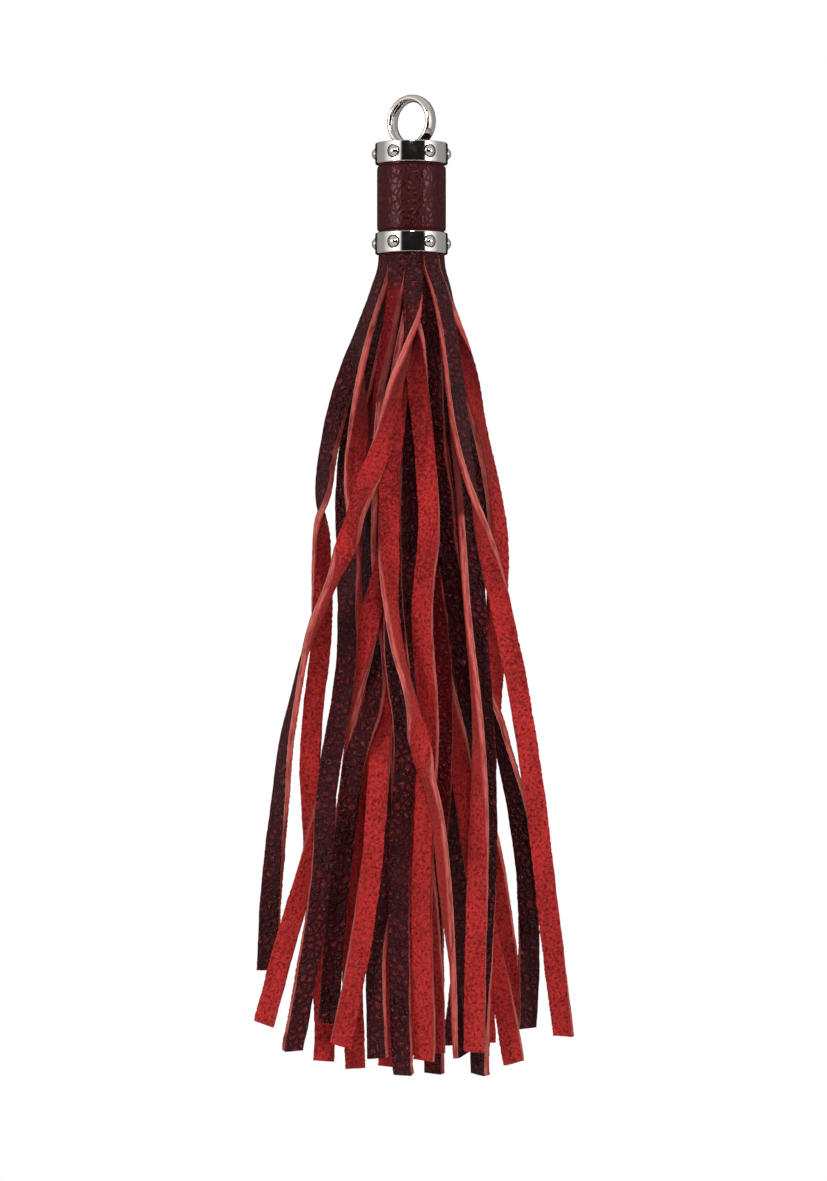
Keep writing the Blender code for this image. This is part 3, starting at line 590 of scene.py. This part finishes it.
def make_fibre_group():
    """Raw leather fibre: a short nap with darker flecks, and broad marks where it was brushed."""
    tree, inside, outside = start_group(
        "raw_fibre",
        (("Place", "Vector"), ("Fibre size", "Float")),
        (("Height", "Float"), ("Fleck", "Float"), ("Brushed", "Float")),
    )
    density = calculate(tree, "DIVIDE", 1.0, inside["Fibre size"])
    tufts = texture_noise(tree, inside["Place"], density, 3.0, 0.65)
    feed(tree, outside["Height"], tufts)
    flecks = texture_noise(tree, inside["Place"], times(tree, density, 0.75), 4.0, 0.7)
    feed(tree, outside["Fleck"], rise(tree, flecks, 0.47, 0.64))
    lengthways = stretch(tree, inside["Place"], (0.35, 1.0, 1.0))
    broad = texture_noise(tree, lengthways, times(tree, density, 0.12), 2.0)
    feed(tree, outside["Brushed"], rise(tree, broad, 0.32, 0.68))
    return tree


def start_material(name, settings):
    """A new material, its node tree and its Principled shader's sockets, with the plain ones set."""
    material = bpy.data.materials.new(name)
    material.use_nodes = True
    shader = material.node_tree.nodes["Principled BSDF"].inputs
    for socket, value in settings.items():
        shader[socket].default_value = value
    return material, material.node_tree, shader


def read_attribute(tree, name):
    return add_node(tree, "Attribute", attribute_name=name).outputs


def object_place(tree):
    return add_node(tree, "TexCoord").outputs["Object"]


def raise_surface(tree, shader, height, depth):
    inputs = {"Height": height, "Distance": depth, "Strength": 1.0}
    feed(tree, shader["Normal"], add_node(tree, "Bump", inputs).outputs[0])


# A grain finish: its dye where it is dark and where it is light, the colour of the painted shade in
# its creases and how strong that shade is, the size and relief of the pebbles in metres, and the
# polish.
Grain = namedtuple("Grain", "dark light crease crease_share pebble_size relief polish")
STRAND_GRAIN = Grain((48, 8, 11), (98, 24, 29), (8, 2, 3), 0.95, 0.0019, 0.0009, 0.36)
PATCH_RED = screen(132, 14, 20)
RED_CREASE_SHARE = 0.2  # of the painted crease shade, where a red patch is full
GLOSS_TINT = screen(255, 184, 190)
pebble_group = make_pebble_group()
fibre_group = make_fibre_group()


def make_grain_leather(name, finish, place_attribute=None):
    """Finished grain: dyed burgundy, with painted shade in the creases and a soft polish on the
    pebbles.
    """
    gloss = {"Specular IOR Level": finish.polish, "Specular Tint": GLOSS_TINT}
    material, tree, shader = start_material(name, gloss)
    if place_attribute:
        place = read_attribute(tree, place_attribute)["Vector"]
    else:
        place = object_place(tree)
    grain = use_group(tree, pebble_group, place=place, pebble_size=finish.pebble_size)
    color = mix(tree, grain["Tone"], screen(*finish.dark), screen(*finish.light))
    # Red patches: the grain is painted redder here, and their darkened cut edges are painted shade.
    red_shade_patch = read_attribute(tree, "red_shade_patch")["Fac"]
    color = mix(tree, red_shade_patch, color, PATCH_RED)
    crease_share = rise(tree, red_shade_patch, 0.0, 1.0, finish.crease_share, RED_CREASE_SHARE)
    # Painted shade: the creases are darkened in the colour itself.
    crease = times(tree, grain["Crease"], crease_share)
    feed(tree, shader["Base Color"], mix(tree, crease, color, screen(*finish.crease)))
    rough = times(tree, grain["Crease"], 0.35)
    feed(tree, shader["Roughness"], calculate(tree, "ADD", rough, 0.26))
    raise_surface(tree, shader, grain["Height"], finish.relief)
    return material


def make_suede():
    """The flesh side: brushed red fibre with darker flecks, with painted shade darkest at the root and
    painted light further down.
    """
    nap_sheen = {"Sheen Weight": 0.25, "Sheen Roughness": 0.45, "Sheen Tint": screen(255, 150, 130)}
    matt = {"Roughness": 0.95, "Specular IOR Level": 0.15}
    material, tree, shader = start_material("red_suede", matt | nap_sheen)
    place = read_attribute(tree, "hide")["Vector"]
    fibre = use_group(tree, fibre_group, place=place, fibre_size=0.0006)
    color = mix(tree, fibre["Brushed"], screen(130, 22, 26), screen(180, 40, 40))
    color = mix(tree, rise(tree, fibre["Height"], 0.42, 0.66, 0.0, 0.6), color, screen(214, 66, 60))
    drop_mm = read_attribute(tree, "drop_mm")["Fac"]
    # Painted light: the suede is lightened further down the strand.
    color = mix(tree, rise(tree, drop_mm, 60.0, 150.0, 0.0, 0.28), color, screen(206, 56, 52))
    color = mix(tree, times(tree, fibre["Fleck"], 0.8), color, screen(76, 9, 15))
    # Painted shade: the suede is darkened toward the root, where the strands shade one another.
    color = mix(tree, rise(tree, drop_mm, 10.0, 66.0, 0.72, 0.0), color, screen(62, 6, 10))
    feed(tree, shader["Base Color"], color)
    raise_surface(tree, shader, fibre["Height"], 0.0003)
    return material


def make_cut_edge():
    """The knife's cut: paler fibre in lengthwise streaks, with a painted highlight along the
    grain-side corner, darker where the suede's fringe reaches it, and painted shade where a red patch
    is strong."""
    matt = {"Roughness": 0.85, "Specular IOR Level": 0.2}
    material, tree, shader = start_material("cut_edge", matt)
    place = read_attribute(tree, "hide")["Vector"]
    depth = read_attribute(tree, "depth")["Fac"]
    streaks = texture_noise(tree, stretch(tree, place, (0.1, 1.0, 1.0)), 1700.0, 4.0, 0.65)
    color = mix(tree, rise(tree, streaks, 0.3, 0.62), screen(130, 37, 38), screen(212, 106, 97))
    fringe = rise(tree, depth, 0.62, 0.98, 0.0, 0.85)
    color = mix(tree, fringe, color, screen(150, 28, 30))
    # Painted highlight: a pale line along the grain-side corner of the cut.
    corner_highlight = rise(tree, depth, 0.02, 0.12, 0.8, 0.0)
    color = mix(tree, corner_highlight, color, screen(222, 140, 126))
    # Painted shade: the cut edge darkens where a red patch is strong.
    patch_shade = rise(tree, read_attribute(tree, "red_shade_patch")["Fac"], 0.65, 1.0, 0.0, 0.85)
    feed(tree, shader["Base Color"], mix(tree, patch_shade, color, screen(80, 16, 22)))
    raise_surface(tree, shader, streaks, 0.00012)
    return material


grain_leather = make_grain_leather("strand_grain", STRAND_GRAIN, "hide")
red_suede = make_suede()
cut_edge = make_cut_edge()


def put_in_scene(name, data):
    obj = bpy.data.objects.new(name, data)
    bpy.context.scene.collection.objects.link(obj)
    return obj


def add_piece(name, mesh, slot, replaced, *materials):
    """Puts a finished mesh in the scene as a piece of the tassel, in place of a CAD node."""
    piece = put_in_scene(name, mesh)
    for material in materials:
        mesh.materials.append(material)
    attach(piece, "root")
    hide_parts(replaced)
    return piece


# Patches where a strand's grain is painted redder, with fainter crease shade, and its cut edges darker
# as painted shade of strands lying in shadow: the strand's number, the drops between, and how strong
# the patch is.
RedShadePatch = namedtuple("RedShadePatch", "number from_mm to_mm share")
RED_SHADE_PATCHES = (
    RedShadePatch(1, 132, 206, 0.55), RedShadePatch(3, 6, 44, 0.9), RedShadePatch(4, 13, 21, 0.6), RedShadePatch(15, 128, 204, 0.4),
    RedShadePatch(16, 16, 73, 1.0), RedShadePatch(17, 80, 210, 0.5), RedShadePatch(21, 136, 172, 0.6), RedShadePatch(25, 50, 215, 0.55),
)
PATCH_FADE_MM = 6


def find_red_shade_patch(number, drop_mm):
    share = np.zeros(len(drop_mm))
    for dyed in RED_SHADE_PATCHES:
        if dyed.number == number:
            into = eased(drop_mm, dyed.from_mm, dyed.from_mm + PATCH_FADE_MM)
            out = eased(drop_mm, dyed.to_mm - PATCH_FADE_MM, dyed.to_mm)
            share += dyed.share * into * (1 - out)
    return share


def add_strands():
    drops, place, facing, half, reached = lay_out(STRANDS)
    place = settle(drops, place, facing, half, reached)
    blank = cut_blank()
    flat_points = np.array([vert.co for vert in blank.vertices])
    for k, strand in enumerate(STRANDS):
        count = reached[k].sum()
        station_drops = np.minimum(drops[:count], strand.bends[-1][0] * MM)
        points, hide, depth, drop_mm = bend_strand(
            k + 1, strand, station_drops, place[k, :count], facing[k, :count], flat_points
        )
        mesh = blank.copy()
        mesh.vertices.foreach_set("co", points.astype(np.float32).ravel())
        flat_place = mesh.attributes.new("hide", "FLOAT_VECTOR", "POINT")
        flat_place.data.foreach_set("vector", hide.astype(np.float32).ravel())
        marks = {"depth": depth, "drop_mm": drop_mm, "red_shade_patch": find_red_shade_patch(k + 1, drop_mm)}
        for name, values in marks.items():
            attribute = mesh.attributes.new(name, "FLOAT", "POINT")
            attribute.data.foreach_set("value", values.astype(np.float32))
        mesh.update()
        name = f"strand_{k + 1:02d}"
        add_piece(name, mesh, "strand_leather", "skirt", grain_leather, red_suede, cut_edge)
    bpy.data.meshes.remove(blank)


add_strands()

# --- The rolled core -----------------------------------------------------------------------
# The uncut top of the same sheet, rolled up tight and glued. Its wound end shows inside the upper
# band, and a short collar of it shows below the lower band, down to where the cuts begin.

CORE_TOP_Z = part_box("skirt")[1].z
CORE_RADIUS = 0.0075
COLLAR_RADIUS = 0.00841
COLLAR_TOP_Z = SKIRT_TOP_Z + 0.0023
COLLAR_BOTTOM_Z = SKIRT_TOP_Z - 0.0012
CORE_END_DEPTH = 0.004  # of the end that shows
CORE_RINGS = 40
STEM_HOLE_RADIUS = 0.0018
ROLL_PITCH = 0.0019
ROLL_GROOVE = 0.0004
ROLL_GROOVE_SHARE = 0.14  # of a layer, that each side of a groove takes
TURNED_STEPS = 192
COLLAR_STEPS = 96
COLLAR_GRAIN = Grain((44, 7, 10), (76, 15, 21), (16, 3, 5), 0.75, 0.0016, 0.0004, 0.26)


def spin_round(bm, steps):
    """Spins everything round +Z, into a shell."""
    bmesh.ops.spin(
        bm, geom=bm.verts[:] + bm.edges[:], cent=(0, 0, 0), axis=(0, 0, 1), dvec=(0, 0, 0),
        angle=2 * math.pi, steps=steps, use_merge=True, use_normal_flip=False,
    )
    bmesh.ops.remove_doubles(bm, verts=bm.verts, dist=1e-7)


def turn_profile(profile, steps, closed=True):
    """Makes a shell with a profile of (radius, z)."""
    bm = bmesh.new()
    verts = [bm.verts.new((radius, 0, z)) for radius, z in profile]
    for pair in zip(verts, verts[1:]):
        bm.edges.new(pair)
    if closed:
        bm.edges.new((verts[-1], verts[0]))
    spin_round(bm, steps)
    return bm


def finish_mesh(name, bm, sharp_degrees=60):
    """A mesh with its faces pointing out, smooth but for its sharp edges."""
    bmesh.ops.recalc_face_normals(bm, faces=bm.faces)
    for face in bm.faces:
        face.smooth = True
    mesh = bpy.data.meshes.new(name)
    bm.to_mesh(mesh)
    bm.free()
    mesh.set_sharp_from_angle(angle=math.radians(sharp_degrees))
    return mesh


def make_roll_end():
    """The wound end: dark grain and red suede in turn between layers of raw fibre."""
    material, tree, shader = start_material("roll_end", {"Roughness": 0.85})
    layer = read_attribute(tree, "layer")["Fac"]
    fibre = use_group(tree, fibre_group, place=object_place(tree), fibre_size=0.0005)
    color = mix(tree, fibre["Fleck"], screen(84, 34, 32), screen(52, 20, 20))
    color = mix(tree, rise(tree, layer, 0.72, 0.86), color, screen(74, 14, 16))
    color = mix(tree, rise(tree, layer, 0.93, 0.97), color, screen(44, 14, 18))
    color = mix(tree, rise(tree, layer, 0.02, 0.08, 1.0, 0.0), color, screen(44, 14, 18))
    feed(tree, shader["Base Color"], color)
    raise_surface(tree, shader, fibre["Height"], 0.0002)
    return material


def find_layer(vert):
    """How far a vertex is through its layer of the roll, from 0 to 1."""
    turn = math.atan2(vert.co.y, vert.co.x) / (2 * math.pi)
    return (math.hypot(vert.co.x, vert.co.y) / ROLL_PITCH + turn) % 1


def add_core():
    radii = np.linspace(STEM_HOLE_RADIUS, CORE_RADIUS, CORE_RINGS)
    profile = [(radius, CORE_TOP_Z) for radius in radii]
    profile += [(radius, CORE_TOP_Z - CORE_END_DEPTH) for radius in (CORE_RADIUS, STEM_HOLE_RADIUS)]
    bm = turn_profile(profile, TURNED_STEPS)
    for vert in bm.verts:
        if vert.co.z > CORE_TOP_Z - CORE_END_DEPTH / 2:
            from_groove = min(find_layer(vert), 1 - find_layer(vert))
            vert.co.z -= ROLL_GROOVE * max(0, 1 - from_groove / ROLL_GROOVE_SHARE)
    mesh = finish_mesh("rolled_core", bm)
    layers = mesh.attributes.new("layer", "FLOAT", "POINT")
    layers.data.foreach_set("value", [find_layer(vert) for vert in mesh.vertices])
    add_piece("rolled_core", mesh, "strand_leather", "skirt", make_roll_end())


def add_collar():
    inner = COLLAR_RADIUS - STRAND_THICK
    profile = [
        (inner, COLLAR_TOP_Z), (COLLAR_RADIUS, COLLAR_TOP_Z),
        (COLLAR_RADIUS, COLLAR_BOTTOM_Z), (inner, COLLAR_BOTTOM_Z),
    ]
    bm = turn_profile(profile, COLLAR_STEPS)
    material = make_grain_leather("collar_grain", COLLAR_GRAIN)
    add_piece("collar", finish_mesh("collar", bm, 40), "strand_leather", "skirt", material)


add_core()
add_collar()

# --- The head wrap -------------------------------------------------------------------------
# A strip of the same pebbled leather, redder in dye, glued round the core between the bands and
# under their edges. Its ends meet in a butt seam at the back.

WRAP_LOW, WRAP_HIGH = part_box("head_wrap")
WRAP_RADIUS = WRAP_HIGH.x
TOP_BAND_LOW, TOP_BAND_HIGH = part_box("band_top")
LOW_BAND_TOP_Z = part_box("band_bottom")[1].z
BAND_RADIUS = TOP_BAND_HIGH.x
BAND_WALL = 0.00063
WRAP_INNER_RADIUS = 0.0078
WRAP_STEPS = 240
WRAP_ROWS = 72
WRAP_END_GAP = 0.0002  # between a band and the outer face that swells out past it
WRAP_SQUARENESS = 24  # how suddenly the face swells
WRAP_SLACK = 0.0001  # within which a vertex counts as on the outer face
WRAP_PEBBLE_SIZE = 0.0014
WRAP_PEBBLE_HEIGHT = 0.00002
WRAP_GRAIN = Grain((46, 4, 7), (62, 7, 11), (16, 2, 3), 0.5, 0.0018, 0.00007, 0.27)
BUTT_SEAM_WIDTH = 0.00035  # from its middle to where the leather is level again
BUTT_SEAM_DEPTH = 0.0005


def add_wrap():
    under_band = BAND_RADIUS - BAND_WALL - GAP
    top = TOP_BAND_LOW.z - GAP
    bottom = LOW_BAND_TOP_Z + GAP
    profile = [(WRAP_INNER_RADIUS, WRAP_HIGH.z), (under_band, WRAP_HIGH.z), (under_band, top)]
    for k in range(WRAP_ROWS + 1):
        share = k / WRAP_ROWS
        z = top - WRAP_END_GAP + (bottom - top + 2 * WRAP_END_GAP) * share
        swell = math.sqrt(1 - (2 * share - 1) ** WRAP_SQUARENESS)
        profile.append((under_band + (WRAP_RADIUS - under_band) * swell, z))
    profile += [(under_band, bottom), (under_band, WRAP_LOW.z), (WRAP_INNER_RADIUS, WRAP_LOW.z)]
    bm = turn_profile(profile, WRAP_STEPS)
    for vert in bm.verts:
        radius = math.hypot(vert.co.x, vert.co.y)
        level = bottom - WRAP_SLACK < vert.co.z < top + WRAP_SLACK
        if radius < under_band - WRAP_SLACK or not level:
            continue
        dome = pebbles(np.array([vert.co]), WRAP_PEBBLE_SIZE)[0]
        lift = WRAP_PEBBLE_HEIGHT * (dome - PEBBLE_MIDDLE)
        if vert.co.y > 0:
            lift -= BUTT_SEAM_DEPTH * max(0, 1 - abs(vert.co.x) / BUTT_SEAM_WIDTH)
        vert.co.xy *= (radius + lift) / radius
    mesh = finish_mesh("head_wrap_leather", bm)
    material = make_grain_leather("wrap_grain", WRAP_GRAIN)
    wrap = add_piece("head_wrap_leather", mesh, "head_leather", "head_wrap", material)


add_wrap()

# --- The bands -----------------------------------------------------------------------------
# Two plain hoops of polished, chromed brass with rounded rims. They are pressed over the head and
# held by their rivets.

BAND_EDGE = 0.00028  # the radius of its rounded rims
CHROME_TINT = screen(232, 224, 218)


def make_polish_group():
    """Handling marks in a polish: a breath of haze, here and there."""
    tree, inside, outside = start_group(
        "polish_marks", (("Place", "Vector"),), (("Roughness", "Float"),)
    )
    haze = texture_noise(tree, inside["Place"], 420.0, 3.0)
    feed(tree, outside["Roughness"], rise(tree, haze, 0.35, 0.75, 0.045, 0.11))
    return tree


polish_group = make_polish_group()


def make_chrome(name):
    material, tree, shader = start_material(name, {"Base Color": CHROME_TINT, "Metallic": 1.0})
    marks = use_group(tree, polish_group, place=object_place(tree))
    feed(tree, shader["Roughness"], marks["Roughness"])
    return material


def corner(radius, z, size, start_degrees, steps=6):
    """Points of a rounded corner of a profile, from start_degrees through a quarter turn down."""
    angles = [math.radians(start_degrees - 90 * k / steps) for k in range(steps + 1)]
    return [(radius + size * math.cos(a), z + size * math.sin(a)) for a in angles]


def add_band(name, node, material):
    low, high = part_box(node)
    outer = high.x - BAND_EDGE
    inner = high.x - BAND_WALL + BAND_EDGE
    profile = corner(inner, high.z - BAND_EDGE, BAND_EDGE, 180)
    profile += corner(outer, high.z - BAND_EDGE, BAND_EDGE, 90)
    profile += corner(outer, low.z + BAND_EDGE, BAND_EDGE, 0)
    profile += corner(inner, low.z + BAND_EDGE, BAND_EDGE, -90)
    bm = turn_profile(profile, TURNED_STEPS)
    add_piece(name, finish_mesh(name, bm), "band_metal", node, material)


band_chrome = make_chrome("band_chrome")
add_band("upper_band", "band_top", band_chrome)
add_band("lower_band", "band_bottom", band_chrome)

# --- The rivets ----------------------------------------------------------------------------
# Six domed rivets of the same bright metal go through each band into the head. Their heads stand on a
# small step, with a near-black skirt round each that paints the fine dark line of shade under it.

RIVET_RADIUS = 0.00146
RIVET_HEIGHT = 0.00072
RIVET_STEP = 0.00014
RIVET_STAND = 0.0002  # of the head's edge, out from the band
DOME_STEPS = 10
RIVET_STEPS = 48
SHANK_RADIUS = 0.00075
SHANK_LENGTH = 0.0007
SEAM_OUT = 0.0003  # how far the painted shade skirt shows round a head
SEAM_TOP = -0.00016  # from the dome's foot
SEAM_FOOT = -0.00032
RIVET_BEARINGS = (-150, -90, -30, 30, 90, 150)


def add_rivet(name, node, bearing, middle_z, *materials):
    dome_radius = RIVET_RADIUS - RIVET_STEP
    cap_radius = (dome_radius**2 + RIVET_HEIGHT**2) / (2 * RIVET_HEIGHT)
    rim = math.asin(dome_radius / cap_radius)
    tilts = [rim * k / DOME_STEPS for k in range(DOME_STEPS + 1)]
    cap_middle = RIVET_HEIGHT - cap_radius
    profile = [(cap_radius * math.sin(t), cap_middle + cap_radius * math.cos(t)) for t in tilts]
    profile += corner(dome_radius, -RIVET_STEP, RIVET_STEP, 90, 3)
    profile += [(RIVET_RADIUS + SEAM_OUT, SEAM_TOP), (RIVET_RADIUS + SEAM_OUT, SEAM_FOOT)]
    profile += [(SHANK_RADIUS, SEAM_FOOT), (SHANK_RADIUS, -SHANK_LENGTH), (0, -SHANK_LENGTH)]
    bm = turn_profile(profile, RIVET_STEPS, closed=False)
    for face in bm.faces:
        face.material_index = int(face.calc_center_median().z < -RIVET_STEP)
    angle = math.radians(bearing)
    direction = Vector((math.sin(angle), -math.cos(angle), 0))
    seat = direction * (BAND_RADIUS + RIVET_STAND) + Vector((0, 0, middle_z))
    turn = direction.to_track_quat("Z", "Y").to_matrix().to_4x4()
    bmesh.ops.transform(bm, verts=bm.verts, matrix=Matrix.Translation(seat) @ turn)
    add_piece(name, finish_mesh(name, bm, 50), "rivet_metal", node, *materials)


def make_painted_seam_shade():
    """Painted shade: a near-black skirt round a rivet's head, for the dark line of shade in the gap
    under it.
    """
    material, tree, shader = start_material("painted_seam_shade", {"Specular IOR Level": 0.1})
    # Painted shade, mottled a little.
    shade_mottle = texture_noise(tree, object_place(tree), 2400.0, 3.0)
    feed(tree, shader["Base Color"], mix(tree, shade_mottle, screen(10, 9, 9), screen(30, 27, 26)))
    feed(tree, shader["Roughness"], rise(tree, shade_mottle, 0.3, 0.7, 0.7, 0.9))
    return material


# The rivets' chrome, and the near-black skirt of painted shade round their heads.
rivet_chrome_and_seam_shade = (make_chrome("rivet_chrome"), make_painted_seam_shade())
for row in ("top", "bottom"):
    low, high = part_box("band_" + row)
    middle_z = (low.z + high.z) / 2
    for number, bearing in enumerate(RIVET_BEARINGS, 1):
        name = f"{row}_rivet_{number}"
        add_rivet(name, f"rivet_{row}_{number}", bearing, middle_z, *rivet_chrome_and_seam_shade)

# --- The ring ------------------------------------------------------------------------------
# A cast ring of oval wire, wider along its own axis than it is thick, in the same bright finish.
# Its stem goes down into the middle of the core.

RING_INNER_RADIUS = 0.00515
RING_THICK = 0.00195
RING_BROAD = 0.0038
RING_TURN = math.radians(-36)
STEM_RADIUS = 0.0015
STEM_LENGTH = 0.0065
WIRE_STEPS = 64
RING_STEPS = 256
STEM_STEPS = 32


def add_ring():
    bm = bmesh.new()
    bmesh.ops.create_circle(bm, segments=WIRE_STEPS, radius=1)
    middle = RING_INNER_RADIUS + RING_THICK / 2
    section = Matrix.Translation((middle, 0, 0)) @ Matrix.Rotation(math.radians(90), 4, "X")
    section = section @ Matrix.Diagonal((RING_THICK / 2, RING_BROAD / 2, 1, 1))
    bmesh.ops.transform(bm, verts=bm.verts, matrix=section)
    spin_round(bm, RING_STEPS)
    upright = Matrix.Translation((0, 0, -RING_INNER_RADIUS)) @ Matrix.Rotation(RING_TURN, 4, "Z")
    upright = upright @ Matrix.Rotation(math.radians(90), 4, "X")
    bmesh.ops.transform(bm, verts=bm.verts, matrix=upright)
    stem_top_z = -2 * RING_INNER_RADIUS - RING_THICK / 2
    bmesh.ops.create_cone(
        bm, cap_ends=True, segments=STEM_STEPS, radius1=STEM_RADIUS, radius2=STEM_RADIUS,
        depth=STEM_LENGTH, matrix=Matrix.Translation((0, 0, stem_top_z - STEM_LENGTH / 2)),
    )
    mesh = finish_mesh("hanging_ring", bm)
    add_piece("hanging_ring", mesh, "ring_metal", "ring", make_chrome("ring_chrome"))


add_ring()

# --- The studio ----------------------------------------------------------------------------
# A white room with soft light from both sides and from above, black cards in front and behind that
# darken the middle of the metal, and a pale floor some way below the hanging tassel.

FLOOR_Z = -0.6
FLOOR_RADIUS = 1.6
FLOOR_STEPS = 96
CAMERA_PLACE = (0.00052, -1.02, -0.12695)
FRAME_HEIGHT = 0.3071  # of what the camera sees at the tassel
SENSOR_MM = 36
CEILING_GREY = (0.55, 0.55, 0.55, 1)
GROUND_GREY = (0.1, 0.1, 0.1, 1)
ROOM_HELD_BACK = 0.8  # of the room's light, from all but reflections


def add_camera():
    camera = bpy.data.cameras.new("camera")
    camera.sensor_fit = "VERTICAL"
    camera.sensor_height = SENSOR_MM
    camera.lens = SENSOR_MM * -CAMERA_PLACE[1] / FRAME_HEIGHT
    camera.clip_start = 0.01
    view = put_in_scene("camera", camera)
    view.location = CAMERA_PLACE
    view.rotation_euler = (math.radians(90), 0, 0)
    bpy.context.scene.camera = view


def add_floor():
    bm = bmesh.new()
    bmesh.ops.create_circle(bm, cap_ends=True, segments=FLOOR_STEPS, radius=FLOOR_RADIUS)
    bmesh.ops.translate(bm, verts=bm.verts, vec=(0, 0, FLOOR_Z))
    mesh = bpy.data.meshes.new("floor")
    bm.to_mesh(mesh)
    bm.free()
    material, tree, shader = start_material("pale_floor", {"Roughness": 0.8})
    tone = texture_noise(tree, object_place(tree), 3.0)
    feed(tree, shader["Base Color"], mix(tree, tone, screen(232, 231, 229), screen(240, 239, 238)))
    mesh.materials.append(material)
    floor = put_in_scene("floor", mesh)


# Brightness of the room round the tassel. An azimuth is 0 in front and positive to the right.
Wall = namedtuple("Wall", "azimuth_deg brightness")
WALLS = (
    Wall(-180, 0.01), Wall(-146, 0.015), Wall(-138, 0.32), Wall(-100, 0.38), Wall(-72, 1.1),
    Wall(-39, 1.3), Wall(-31, 0.012), Wall(41, 0.012), Wall(49, 1.3), Wall(68, 1.1),
    Wall(92, 0.38), Wall(138, 0.32), Wall(146, 0.015), Wall(180, 0.01),
)


def add_room():
    world = bpy.data.worlds.new("studio")
    bpy.context.scene.world = world
    world.use_nodes = True
    tree = world.node_tree
    background = tree.nodes["Background"]
    direction = add_node(tree, "TexCoord").outputs["Generated"]
    x, y, z = add_node(tree, "SeparateXYZ", {0: direction}).outputs
    azimuth = calculate(tree, "ARCTAN2", x, times(tree, y, -1.0))
    turn = calculate(tree, "ADD", times(tree, azimuth, 0.5 / math.pi), 0.5)
    ramp = add_node(tree, "ValToRGB", {"Fac": turn})
    stops = ramp.color_ramp.elements
    while len(stops) < len(WALLS):
        stops.new(0.5)
    for stop, wall in zip(stops, WALLS):
        stop.position = wall.azimuth_deg / 360 + 0.5
        stop.color = (wall.brightness, wall.brightness, wall.brightness, 1)
    high = rise(tree, z, 0.45, 0.75)
    low = rise(tree, z, -0.6, -0.35, 1.0, 0.0)
    color = mix(tree, high, ramp.outputs["Color"], CEILING_GREY)
    color = mix(tree, low, color, GROUND_GREY)
    ray = add_node(tree, "LightPath").outputs
    held_back = times(tree, ray["Is Diffuse Ray"], ROOM_HELD_BACK)
    color = mix(tree, held_back, color, (0, 0, 0, 1))
    feed(tree, background.inputs["Color"], mix(tree, ray["Is Camera Ray"], color, (1, 1, 1, 1)))


# Soft lamps. Those that aren't in the metal light the leather without showing as reflections.
Lamp = namedtuple("Lamp", "name azimuth_deg height distance size watts in_metal")
LAMPS = (
    Lamp("left_softbox", -54, 0.25, 1.0, 0.35, 3.8, True),
    Lamp("right_softbox", 55, 0.2, 1.0, 0.35, 3.4, True),
    Lamp("high_front", 3, 0.55, 1.0, 0.26, 5.0, True),
    Lamp("back_left", -140, 0.2, 1.2, 0.8, 1.6, False),
    Lamp("back_right", 140, 0.2, 1.2, 0.8, 1.6, False),
)


def add_lamps():
    aim = Vector((0, 0, CAMERA_PLACE[2]))
    for lamp in LAMPS:
        light = bpy.data.lights.new(lamp.name, "AREA")
        light.shape = "DISK"
        light.size = lamp.size
        light.energy = lamp.watts
        obj = put_in_scene(lamp.name, light)
        azimuth = math.radians(lamp.azimuth_deg)
        obj.location = (
            lamp.distance * math.sin(azimuth), -lamp.distance * math.cos(azimuth), aim.z + lamp.height,
        )
        obj.rotation_euler = (aim - obj.location).to_track_quat("-Z", "Y").to_euler()
        obj.visible_glossy = lamp.in_metal
        obj.visible_camera = False


add_camera()
add_floor()
add_room()
add_lamps()
bpy.context.scene.view_settings.view_transform = "Standard"
